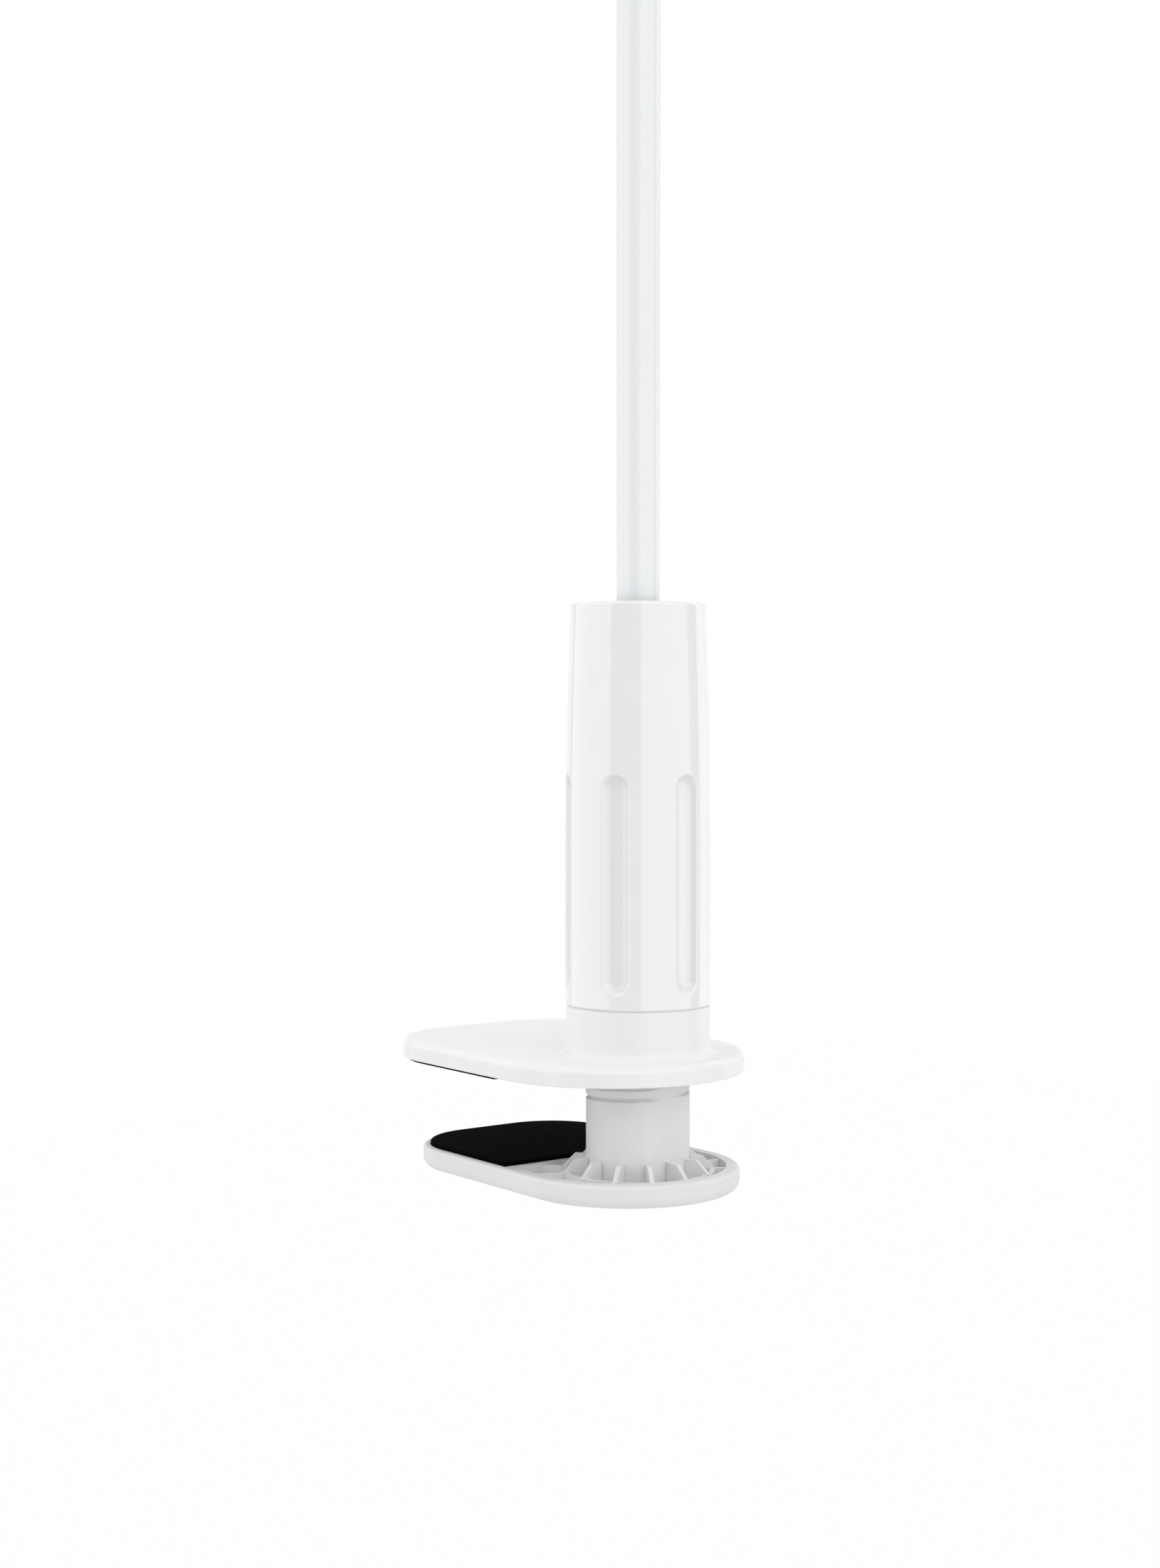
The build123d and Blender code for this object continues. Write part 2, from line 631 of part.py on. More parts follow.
with BuildPart(AXIS) as lower_bush:
    with BuildSketch(AXIS.offset(POLE_Z)):
        Circle(BUSH_R)
        Circle(POLE_R + FIT, mode=Mode.SUBTRACT)
    extrude(amount=BUSH_LOW_H)
lower_bush.part.label = "lower_bush"
export_step(lower_bush.part, "parts/lower_bush.step")

# Pole: thin tube on a plugged foot that turns on the carrier's floor
with BuildPart(AXIS) as pole_foot:
    with BuildSketch(AXIS.offset(POLE_Z)):
        Circle(POLE_R - SEAT)
    extrude(amount=FOOT_T)
    with BuildSketch(AXIS.offset(POLE_Z + FOOT_T)):
        Circle(TUBE_BORE_R - FIT)
    extrude(amount=FOOT_PLUG_L)
pole_foot.part.label = "pole_foot"
export_step(pole_foot.part, "parts/pole_foot.step")

with BuildPart(AXIS) as pole_tube:
    with BuildSketch(AXIS.offset(POLE_Z + FOOT_T)):
        Circle(POLE_R)
        Circle(TUBE_BORE_R, mode=Mode.SUBTRACT)
    extrude(amount=POLE_TOP - POLE_Z - FOOT_T)
pole_tube.part.label = "pole_tube"
export_step(pole_tube.part, "parts/pole_tube.step")

# Elbow hub on the pole: upright socket under a drum, bolt pocket at its back
BOLT_SEAT_Y = DRUM_BACK_Y + BOLT_CAP_T + BOLT_HEAD_H
with BuildPart() as pole_hub:
    with BuildSketch(AXIS.offset(ELBOW_Z - SOCKET_END)):
        Circle(SOCKET_R)
    extrude(amount=SOCKET_END)
    chamfer(pole_hub.faces().sort_by(Axis.Z)[0].edges(), SOCKET_EDGE)
    with BuildSketch(across(AXIS_X, DRUM_BACK_Y, ELBOW_Z)):
        Circle(DRUM_R)
    extrude(amount=DRUM_W)
    fillet(pole_hub.faces().sort_by(Axis.Y)[0].edges(), DRUM_EDGE_R)
    with BuildSketch(across(AXIS_X, DRUM_BACK_Y, ELBOW_Z)):
        Circle(BOLT_R + FIT)
    extrude(amount=DRUM_W, mode=Mode.SUBTRACT)
    with BuildSketch(across(AXIS_X, DRUM_BACK_Y, ELBOW_Z)):
        Circle(BOLT_HEAD_R + FREE)
    extrude(amount=BOLT_SEAT_Y - DRUM_BACK_Y, mode=Mode.SUBTRACT)
    with BuildSketch(AXIS.offset(ELBOW_Z - SOCKET_END)):
        Circle(POLE_R + FIT)
    extrude(amount=SOCKET_END - TUBE_STOP, mode=Mode.SUBTRACT)
pole_hub.part.label = "pole_hub"
export_step(pole_hub.part, "parts/pole_hub.step")

INSERT_Y = KNOB_Y + KNOB_H - INSERT_H - 2 * KNOB_EDGE_R
BOLT_END_Y = INSERT_Y + INSERT_H
with BuildPart() as elbow_bolt:
    with BuildSketch(across(AXIS_X, BOLT_SEAT_Y, ELBOW_Z)):
        RegularPolygon(BOLT_HEAD_R, 6)
    extrude(amount=-BOLT_HEAD_H)
    with BuildSketch(across(AXIS_X, BOLT_SEAT_Y, ELBOW_Z)):
        Circle(BOLT_R)
    extrude(amount=BOLT_END_Y - BOLT_SEAT_Y)
elbow_bolt.part.label = "elbow_bolt"
export_step(elbow_bolt.part, "parts/elbow_bolt.step")

with BuildPart() as bolt_cap:
    with BuildSketch(across(AXIS_X, DRUM_BACK_Y, ELBOW_Z)):
        Circle(BOLT_HEAD_R + FREE - FIT)
    extrude(amount=BOLT_CAP_T)
bolt_cap.part.label = "bolt_cap"
export_step(bolt_cap.part, "parts/bolt_cap.step")

with BuildPart() as elbow_washer:
    with BuildSketch(across(AXIS_X, DRUM_BACK_Y + DRUM_W, ELBOW_Z)):
        Circle(WASHER_R)
        Circle(BOLT_R + SEAT, mode=Mode.SUBTRACT)
    extrude(amount=WASHER_T)
elbow_washer.part.label = "elbow_washer"
export_step(elbow_washer.part, "parts/elbow_washer.step")

# Hand knob: fluted drum with a threaded insert on the bolt's end
with BuildPart() as elbow_knob:
    with BuildSketch(across(AXIS_X, KNOB_Y, ELBOW_Z)):
        Circle(KNOB_R)
        with PolarLocations(KNOB_R + KNOB_FLUTE_R - KNOB_FLUTE_DEPTH, KNOB_FLUTES):
            Circle(KNOB_FLUTE_R, mode=Mode.SUBTRACT)
    extrude(amount=KNOB_H)
    fillet(elbow_knob.faces().sort_by(Axis.Y)[-1].edges(), KNOB_EDGE_R)
    with BuildSketch(across(AXIS_X, KNOB_Y, ELBOW_Z)):
        Circle(BOLT_R + FREE)
    extrude(amount=BOLT_END_Y - KNOB_Y, mode=Mode.SUBTRACT)
    with BuildSketch(across(AXIS_X, INSERT_Y, ELBOW_Z)):
        RegularPolygon(INSERT_R + SEAT, 6)
    extrude(amount=INSERT_H, mode=Mode.SUBTRACT)
elbow_knob.part.label = "elbow_knob"
export_step(elbow_knob.part, "parts/elbow_knob.step")

with BuildPart() as knob_insert:
    with BuildSketch(across(AXIS_X, INSERT_Y, ELBOW_Z)):
        RegularPolygon(INSERT_R, 6)
        Circle(BOLT_R + FIT, mode=Mode.SUBTRACT)
    extrude(amount=INSERT_H)
knob_insert.part.label = "knob_insert"
export_step(knob_insert.part, "parts/knob_insert.step")

# Arm: hub drum with a level socket, tube and ferrule
with BuildPart() as arm_hub:
    with BuildSketch(along(AXIS_X, ARM_Y, ELBOW_Z)):
        Circle(SOCKET_R)
    extrude(amount=SOCKET_END)
    chamfer(arm_hub.faces().sort_by(Axis.X)[0].edges(), SOCKET_EDGE)
    with BuildSketch(across(AXIS_X, ARM_DRUM_Y, ELBOW_Z)):
        Circle(DRUM_R)
    extrude(amount=DRUM_W)
    with BuildSketch(across(AXIS_X, ARM_DRUM_Y, ELBOW_Z)):
        Circle(BOLT_R + FIT)
    extrude(amount=DRUM_W, mode=Mode.SUBTRACT)
    with BuildSketch(along(TUBE_START_X, ARM_Y, ELBOW_Z)):
        Circle(POLE_R + FIT)
    extrude(amount=SOCKET_END - TUBE_STOP, mode=Mode.SUBTRACT)
arm_hub.part.label = "arm_hub"
export_step(arm_hub.part, "parts/arm_hub.step")

with BuildPart() as arm_tube:
    with BuildSketch(along(TUBE_START_X, ARM_Y, ELBOW_Z)):
        Circle(POLE_R)
        Circle(TUBE_BORE_R, mode=Mode.SUBTRACT)
    extrude(amount=TUBE_START_X - TUBE_END_X)
arm_tube.part.label = "arm_tube"
export_step(arm_tube.part, "parts/arm_tube.step")

with BuildPart() as arm_ferrule:
    with BuildSketch(along(TUBE_END_X + FERRULE_L, ARM_Y, ELBOW_Z)):
        Circle(FERRULE_R)
        Circle(POLE_R + FIT, mode=Mode.SUBTRACT)
    extrude(amount=FERRULE_L)
    chamfer(
        arm_ferrule.edges().filter_by(GeomType.CIRCLE).group_by(SortBy.RADIUS)[-1].sort_by(Axis.X)[-1],
        SOCKET_EDGE,
    )
arm_ferrule.part.label = "arm_ferrule"
export_step(arm_ferrule.part, "parts/arm_ferrule.step")

with BuildPart() as tip_bush:
    with BuildSketch(along(TUBE_END_X + TIP_BUSH_L, ARM_Y, ELBOW_Z)):
        Circle(TUBE_BORE_R - FIT)
        Circle(ROLL_R + FIT, mode=Mode.SUBTRACT)
    extrude(amount=TIP_BUSH_L)
tip_bush.part.label = "tip_bush"
export_step(tip_bush.part, "parts/tip_bush.step")

# Bracket: journal inside the arm's tip, collar outside it and the eye that the bar tilts on
COLLAR_X = TUBE_END_X - FREE
CLIP_X = TUBE_END_X + TIP_BUSH_L + FREE
with BuildPart() as tip_bracket:
    with BuildSketch(along(CLIP_X + 3 * ROLL_CLIP_T, ARM_Y, ELBOW_Z)):
        Circle(ROLL_R)
    extrude(amount=CLIP_X + 3 * ROLL_CLIP_T - COLLAR_X)
    with BuildSketch(along(CLIP_X + ROLL_CLIP_T, ARM_Y, ELBOW_Z)):
        Circle(ROLL_R)
        Circle(ROLL_R - ROLL_GROOVE, mode=Mode.SUBTRACT)
    extrude(amount=ROLL_CLIP_T, mode=Mode.SUBTRACT)
    with BuildSketch(along(COLLAR_X, ARM_Y, ELBOW_Z)):
        Circle(FERRULE_R)
    extrude(amount=COLLAR_L)
    chamfer(tip_bracket.faces().sort_by(Axis.X)[0].edges(), SOCKET_EDGE)
    with BuildSketch(along(COLLAR_X, ARM_Y, ELBOW_Z)):
        Circle(BRACKET_NECK_R)
    extrude(amount=COLLAR_X - HEAD_X)
    with BuildSketch(across(HEAD_X, ARM_Y - EYE_W / 2, ELBOW_Z)):
        Circle(EYE_R)
    extrude(amount=EYE_W)
    with BuildSketch(across(HEAD_X, ARM_Y - EYE_W / 2, ELBOW_Z)):
        Circle(PIN_R + FIT)
    extrude(amount=EYE_W, mode=Mode.SUBTRACT)
tip_bracket.part.label = "tip_bracket"
export_step(tip_bracket.part, "parts/tip_bracket.step")

with BuildPart() as roll_clip:
    with BuildSketch(along(CLIP_X + ROLL_CLIP_T, ARM_Y, ELBOW_Z)):
        Circle(ROLL_CLIP_R)
        Circle(ROLL_R - ROLL_GROOVE + FIT, mode=Mode.SUBTRACT)
        with Locations((0, ROLL_CLIP_R)):
            Rectangle(ROLL_R, 2 * ROLL_CLIP_R, mode=Mode.SUBTRACT)
    extrude(amount=ROLL_CLIP_T)
roll_clip.part.label = "roll_clip"
export_step(roll_clip.part, "parts/roll_clip.step")

# Light bar: lugs on an extruded channel, closed by a diffuser and two end caps
LUG_Y = EYE_W / 2 + TILT_WASHER_T
with BuildPart(Plane((HEAD_X, ARM_Y, SHELL_TOP))) as head_lugs:
    with BuildSketch(Plane((HEAD_X, ARM_Y, SHELL_TOP))):
        RectangleRounded(LUG_BASE_W, LUG_BASE_L, 2 * SOCKET_EDGE)
    extrude(amount=LUG_BASE_T)
    with BuildSketch(across(HEAD_X, ARM_Y + LUG_Y, ELBOW_Z)):
        Circle(LUG_R)
        Rectangle(2 * LUG_R, HEAD_DROP, align=(Align.CENTER, Align.MIN))
    extrude(amount=LUG_T)
    with BuildSketch(across(HEAD_X, ARM_Y - LUG_Y, ELBOW_Z)):
        Circle(LUG_R)
        Rectangle(2 * LUG_R, HEAD_DROP, align=(Align.CENTER, Align.MIN))
    extrude(amount=-LUG_T)
    with BuildSketch(across(HEAD_X, ARM_Y - LUG_Y - LUG_T, ELBOW_Z)):
        Circle(PIN_R + FIT)
    extrude(amount=2 * (LUG_Y + LUG_T), mode=Mode.SUBTRACT)
    with Locations((0, 0, LUG_BASE_T)):
        with GridLocations(LUG_SCREW_X, LUG_SCREW_Y, 2, 2):
            CounterBoreHole(SCREW_R + SEAT, SCREW_HEAD_R + SEAT, SCREW_HEAD_H)
head_lugs.part.label = "head_lugs"
export_step(head_lugs.part, "parts/head_lugs.step")

with BuildPart(Plane((HEAD_X, ARM_Y, SHELL_TOP))) as lug_screws:
    with BuildSketch(Plane((HEAD_X, ARM_Y, SHELL_TOP + LUG_BASE_T))):
        with GridLocations(LUG_SCREW_X, LUG_SCREW_Y, 2, 2):
            Circle(SCREW_HEAD_R)
    extrude(amount=-SCREW_HEAD_H)
    with BuildSketch(Plane((HEAD_X, ARM_Y, SHELL_TOP - SHELL_TOP_T))):
        with GridLocations(LUG_SCREW_X, LUG_SCREW_Y, 2, 2):
            Circle(SCREW_R)
    extrude(amount=SHELL_TOP_T + LUG_BASE_T - SCREW_HEAD_H)
lug_screws.part.label = "lug_screws"
export_step(lug_screws.part, "parts/lug_screws.step")

with BuildPart() as tilt_washers:
    with BuildSketch(across(HEAD_X, ARM_Y + EYE_W / 2, ELBOW_Z)):
        Circle(LUG_R)
        Circle(PIN_R + SEAT, mode=Mode.SUBTRACT)
    extrude(amount=TILT_WASHER_T)
    with BuildSketch(across(HEAD_X, ARM_Y - EYE_W / 2, ELBOW_Z)):
        Circle(LUG_R)
        Circle(PIN_R + SEAT, mode=Mode.SUBTRACT)
    extrude(amount=-TILT_WASHER_T)
tilt_washers.part.label = "tilt_washers"
export_step(tilt_washers.part, "parts/tilt_washers.step")

PIN_Y0 = ARM_Y - LUG_Y - LUG_T
PIN_Y1 = ARM_Y + LUG_Y + LUG_T
with BuildPart() as tilt_pin:
    with BuildSketch(across(HEAD_X, PIN_Y0, ELBOW_Z)):
        Circle(PIN_HEAD_R)
    extrude(amount=-PIN_HEAD_T)
    fillet(tilt_pin.faces().sort_by(Axis.Y)[0].edges(), PIN_HEAD_T / 2)
    with BuildSketch(across(HEAD_X, PIN_Y0, ELBOW_Z)):
        Circle(PIN_R)
    extrude(amount=PIN_Y1 + 2 * PIN_CLIP_T - PIN_Y0)
tilt_pin.part.label = "tilt_pin"
export_step(tilt_pin.part, "parts/tilt_pin.step")

with BuildPart() as pin_clip:
    with BuildSketch(across(HEAD_X, PIN_Y1, ELBOW_Z)):
        Circle(PIN_HEAD_R)
        Circle(PIN_R + FIT, mode=Mode.SUBTRACT)
    extrude(amount=PIN_CLIP_T)
pin_clip.part.label = "pin_clip"
export_step(pin_clip.part, "parts/pin_clip.step")

with BuildPart() as head_shell:
    with BuildSketch(across(HEAD_X, HEAD_Y0, SHELL_TOP)) as channel:
        Rectangle(SHELL_W, SHELL_H, align=(Align.CENTER, Align.MIN))
        fillet(channel.vertices().sort_by(Axis.Y)[:2], SHELL_ROUND)
        with Locations((0, SHELL_TOP_T)):
            Rectangle(
                CAVITY_W,
                SHELL_H - SHELL_TOP_T - LIP_T,
                align=(Align.CENTER, Align.MIN),
                mode=Mode.SUBTRACT,
            )
        with Locations((0, SHELL_H)):
            Rectangle(CAVITY_W - 2 * LIP_W, 2 * LIP_T, mode=Mode.SUBTRACT)
    extrude(amount=HEAD_L)
    with BuildSketch(Plane((HEAD_X, ARM_Y, SHELL_TOP))):
        with GridLocations(LUG_SCREW_X, LUG_SCREW_Y, 2, 2):
            Circle(SCREW_R + FIT)
    extrude(amount=-SHELL_TOP_T, mode=Mode.SUBTRACT)
head_shell.part.label = "head_shell"
export_step(head_shell.part, "parts/head_shell.step")

with BuildPart() as led_board:
    with BuildSketch(Plane((HEAD_X, ARM_Y, BOARD_Z))):
        Rectangle(CAVITY_W - 2 * SEAT, HEAD_L - 2 * END_PLAY)
    extrude(amount=BOARD_T)
led_board.part.label = "led_board"
export_step(led_board.part, "parts/led_board.step")

with BuildPart() as led_chips:
    with BuildSketch(Plane((HEAD_X, HEAD_Y0 + LED_BACK + (LED_COUNT - 1) * LED_PITCH / 2, BOARD_Z))):
        with GridLocations(LED_PITCH, LED_PITCH, 1, LED_COUNT):
            Rectangle(LED_X, LED_Y)
    extrude(amount=-LED_T)
led_chips.part.label = "led_chips"
export_step(led_chips.part, "parts/led_chips.step")

with BuildPart() as diffuser:
    with BuildSketch(Plane((HEAD_X, ARM_Y, DIFFUSER_Z))):
        Rectangle(CAVITY_W - 2 * SEAT, HEAD_L - 2 * END_PLAY)
    extrude(amount=DIFFUSER_T)
diffuser.part.label = "diffuser"
export_step(diffuser.part, "parts/diffuser.step")

SWITCH_Y1 = HEAD_Y1 - FREE - BUTTON_FLANGE_T - BUTTON_TRAVEL - FIT
with BuildPart() as driver_block:
    with BuildSketch(Plane((HEAD_X, SWITCH_Y1 - SWITCH_L - DRIVER_GAP - DRIVER_L / 2, BOARD_Z))):
        Rectangle(DRIVER_W, DRIVER_L)
    extrude(amount=-DRIVER_H)
    chamfer(driver_block.faces().sort_by(Axis.Z)[0].edges(), SOCKET_EDGE)
driver_block.part.label = "driver_block"
export_step(driver_block.part, "parts/driver_block.step")

with BuildPart() as push_switch:
    with BuildSketch(across(BUTTON_X, SWITCH_Y1 - SWITCH_L, BUTTON_Z)):
        Rectangle(SWITCH_W, SWITCH_H)
    extrude(amount=SWITCH_L - BUTTON_TRAVEL)
    with BuildSketch(across(BUTTON_X, SWITCH_Y1 - BUTTON_TRAVEL, BUTTON_Z)):
        Circle(PLUNGER_R)
    extrude(amount=BUTTON_TRAVEL)
push_switch.part.label = "push_switch"
export_step(push_switch.part, "parts/push_switch.step")

with BuildPart() as power_inlet:
    with BuildSketch(across(INLET_X, HEAD_Y1 + CAP_T, INLET_Z)):
        RectangleRounded(INLET_W, INLET_H, INLET_H / 2 - SEAT)
        RectangleRounded(
            INLET_W - 2 * INLET_WALL,
            INLET_H - 2 * INLET_WALL,
            INLET_H / 2 - INLET_WALL - SEAT,
            mode=Mode.SUBTRACT,
        )
    extrude(amount=-INLET_L)
    with BuildSketch(across(INLET_X, HEAD_Y1 + CAP_T - INLET_L, INLET_Z)):
        RectangleRounded(INLET_W, INLET_H, INLET_H / 2 - SEAT)
    extrude(amount=-INLET_WALL)
    with BuildSketch(across(INLET_X, HEAD_Y1 + CAP_T - INLET_L, INLET_Z)):
        Rectangle(TONGUE_W, TONGUE_T)
    extrude(amount=INLET_L - TONGUE_T)
power_inlet.part.label = "power_inlet"
export_step(power_inlet.part, "parts/power_inlet.step")

# End caps: the channel's outline in front, a three-sided plug behind
with BuildPart() as back_cap:
    with BuildSketch(across(HEAD_X, HEAD_Y0 - CAP_T, SHELL_TOP)) as outline:
        Rectangle(SHELL_W, SHELL_H, align=(Align.CENTER, Align.MIN))
        fillet(outline.vertices().sort_by(Axis.Y)[:2], SHELL_ROUND)
    extrude(amount=CAP_T)
    fillet(back_cap.faces().sort_by(Axis.Y)[0].edges(), SOCKET_EDGE)
    with BuildSketch(across(HEAD_X, HEAD_Y0, PLUG_TOP)):
        Rectangle(CAVITY_W - 2 * SEAT, PLUG_TOP - PLUG_FOOT, align=(Align.CENTER, Align.MIN))
        Rectangle(
            CAVITY_W - 2 * SEAT - 2 * CAP_PLUG_T,
            PLUG_TOP - PLUG_FOOT - CAP_PLUG_T,
            align=(Align.CENTER, Align.MIN),
            mode=Mode.SUBTRACT,
        )
    extrude(amount=CAP_PLUG_L)
back_cap.part.label = "back_cap"
export_step(back_cap.part, "parts/back_cap.step")

with BuildPart() as front_cap:
    with BuildSketch(across(HEAD_X, HEAD_Y1 + CAP_T, SHELL_TOP)) as outline:
        Rectangle(SHELL_W, SHELL_H, align=(Align.CENTER, Align.MIN))
        fillet(outline.vertices().sort_by(Axis.Y)[:2], SHELL_ROUND)
    extrude(amount=-CAP_T)
    fillet(front_cap.faces().sort_by(Axis.Y)[-1].edges(), SOCKET_EDGE)
    with BuildSketch(across(HEAD_X, HEAD_Y1, PLUG_TOP)):
        Rectangle(CAVITY_W - 2 * SEAT, PLUG_TOP - PLUG_FOOT, align=(Align.CENTER, Align.MIN))
        Rectangle(
            CAVITY_W - 2 * SEAT - 2 * CAP_PLUG_T,
            PLUG_TOP - PLUG_FOOT - CAP_PLUG_T,
            align=(Align.CENTER, Align.MIN),
            mode=Mode.SUBTRACT,
        )
    extrude(amount=-CAP_PLUG_L)
    with BuildSketch(across(INLET_X, HEAD_Y1 + CAP_T, INLET_Z)):
        RectangleRounded(INLET_W + 2 * SEAT, INLET_H + 2 * SEAT, INLET_H / 2)
    extrude(amount=-CAP_T, mode=Mode.SUBTRACT)
    with BuildSketch(across(BUTTON_X, HEAD_Y1 + CAP_T, BUTTON_Z)):
        Circle(BUTTON_R + FREE)
    extrude(amount=-CAP_T, mode=Mode.SUBTRACT)
front_cap.part.label = "front_cap"
export_step(front_cap.part, "parts/front_cap.step")

# Switch button: pushed in along -Y against its switch, kept in by a flange behind the cap
with BuildPart() as switch_button:
    with BuildSketch(across(BUTTON_X, HEAD_Y1 + CAP_T + BUTTON_PROUD, BUTTON_Z)):
        Circle(BUTTON_R)
    extrude(amount=-(BUTTON_PROUD + CAP_T + FREE))
    fillet(switch_button.faces().sort_by(Axis.Y)[-1].edges(), BUTTON_PROUD / 2)
    with BuildSketch(across(BUTTON_X, HEAD_Y1 - FREE, BUTTON_Z)):
        RectangleRounded(BUTTON_FLANGE_W, BUTTON_FLANGE_H, SOCKET_EDGE)
    extrude(amount=-BUTTON_FLANGE_T)
switch_button.part.label = "switch_button"
export_step(switch_button.part, "parts/switch_button.step")
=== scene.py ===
"""Screw-clamp desk lamp: finishes, moulded surfaces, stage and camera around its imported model."""
import json
import math

import bmesh
import bpy
import numpy as np
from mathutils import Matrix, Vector


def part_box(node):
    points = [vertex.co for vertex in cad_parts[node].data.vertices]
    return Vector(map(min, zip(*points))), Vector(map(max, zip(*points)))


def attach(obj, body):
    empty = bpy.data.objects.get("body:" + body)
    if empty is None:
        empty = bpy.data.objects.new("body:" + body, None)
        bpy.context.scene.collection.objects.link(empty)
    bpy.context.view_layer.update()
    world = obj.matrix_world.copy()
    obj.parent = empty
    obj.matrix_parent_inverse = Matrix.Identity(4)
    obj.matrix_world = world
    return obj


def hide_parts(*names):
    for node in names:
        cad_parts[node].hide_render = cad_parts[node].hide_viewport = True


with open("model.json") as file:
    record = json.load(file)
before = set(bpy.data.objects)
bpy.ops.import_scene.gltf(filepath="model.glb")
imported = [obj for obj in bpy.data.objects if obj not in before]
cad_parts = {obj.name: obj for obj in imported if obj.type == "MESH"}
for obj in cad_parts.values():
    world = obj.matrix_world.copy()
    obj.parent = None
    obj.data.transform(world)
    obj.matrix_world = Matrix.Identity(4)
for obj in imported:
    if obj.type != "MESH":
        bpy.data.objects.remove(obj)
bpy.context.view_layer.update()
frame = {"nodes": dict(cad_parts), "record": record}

bl_info = {
    "name": "Screw-clamp desk lamp",
    "version": (1, 0, 0),
    "blender": (4, 5, 0),
    "location": "3D View > Sidebar > Lamp",
    "description": "Dresses the clamp, pole, arm and light bar of a desk lamp",
    "category": "Object",
}

MM = 0.001

# Stations of the clamp and its grip, in millimetres from the clamp's seat
AXIS_X = 49.0
PLATE_HALF_W = 37.1
PLATE_ARC_X = -11.7
PLATE_BACK_X = -80.8
PLATE_CORNER_R = 25.5
PLATE_UNDER = 0.8
PLATE_TOP = 6.3
PLATE_EDGE = 2.0
PLATE_BREAK = 0.3
NECK_R = 20.0
NECK_TOP = 20.0
NECK_BREAK = 0.4
NECK_FLARE = 3.1
FLARE_GAP = 0.15
SPIGOT_R = 16.4
SPIGOT_TOP = 30.0
HOOK_R = 17.1
HOOK_H = 1.8
BORE_R = 14.7
BORE_FLAT = 13.35
GRIP_FOOT = 20.5
GRIP_TOP = 131.0
GRIP_STRAIGHT = 38.0
GRIP_R = 20.2
GRIP_TOP_R = 18.75
GRIP_TOP_ROUND = 1.0
SOCKET_R = 16.45
HOOK_SPACE_R = 17.4
HOOK_SPACE = (28.0, 33.0)
LEDGE_R = 15.2
LEDGE_TOP = 35.0
NUT_BORE_R = 15.95
CARRIER_FLOOR = 95.0
CARRIER_BORE_R = 16.6
GROOVES = 6
GROOVE_TURN = math.radians(3.9)
GROOVE_LOW = 24.8
GROOVE_HIGH = 84.2
GROOVE_W = 7.9
STEM_R = 14.4
STEM_FLAT = 13.05
STEM_BORE = 10.4
STEM_FOOT = -29.6
STEM_TOP = 80.0
STEM_ROUND = 1.0
STEM_EDGE = 1.2
STEM_CROWN = 74.0
THREAD_RUN_OUT = 0.8
UPPER_PAD_CORNER = 24.3
LOWER_PAD_CORNER = 19.9

# Small screws, in millimetres
HUB_FLOOR = 1.8
STEM_SCREWS_R = 12.4
JAW_SCREWS_R = 16.8
SCREW_R = 1.25
SCREW_POINT = 0.4
SCREW_HEAD_R = 1.9
SCREW_HEAD_H = 1.4
SCREW_ROUND = 0.2
SCREW_HOLD = 0.05
CROSS_REACH = 1.15
CROSS_HALF_W = 0.24
CROSS_EDGE = 0.1
CROSS_DEPTH = 0.8

# Rows of points stand this far from an edge, so that the face beside it stays flat, in millimetres
NEAR = 0.06
HOLD = 0.1

# Columns of points round each surface, and the height of a row on the thread, in millimetres
GRIP_COLUMNS = 480
PLAN_COLUMNS = (180, 30, 40, 16)
STEM_COLUMNS = (6, 44, 6, 44)
SCREW_COLUMNS = 64
THREAD_ROW = 0.13

# Camera of the photograph, in metres, with its lens and sensor in millimetres
CAMERA_PLACE = (0.5418, -0.3894, 0.0970)
CAMERA_AHEAD = (-0.8002, 0.5997)
CAMERA_FALL = math.radians(1.44)
CAMERA_LENS = 52.05
CAMERA_SENSOR = 36.0
CAMERA_NEAR = 0.01

# Floor, in metres, with the share of its white that comes from itself where it is seen
FLOOR_HALF = 4.0
FLOOR_LEVEL = -0.75
FLOOR_CELLS = 8
FLOOR_GLOW = 0.97

# Soft boxes as first and last bearing and light. A bearing is in degrees, and goes from the camera's
# side of the lamp to the camera's right
BOXES = ((3.5, 89.0, 0.90), (-133.0, -47.0, 0.97), (112.0, 135.0, 0.85))
BOX_SOFT = 1.5
BACK_EDGES = (-136.5, 135.0)
BACK_LIGHT = 0.69
BACK_DIM = 0.16
KEY_EDGES = (-70.0, 70.0)
KEY_LIGHT = 0.36
SKY_LIGHT = 0.54
FILL_LIGHT = 0.295

# Where those lights rise or fall, as the sine of the height angle
BACK_DIM_RISE = (0.04, 0.2)
SIDES_FALL = (0.62, 0.80)
SKY_RISE = (0.2, 1.0)
KEY_RISE = (0.3, 0.5)
KEY_FALL = (0.85, 0.95)


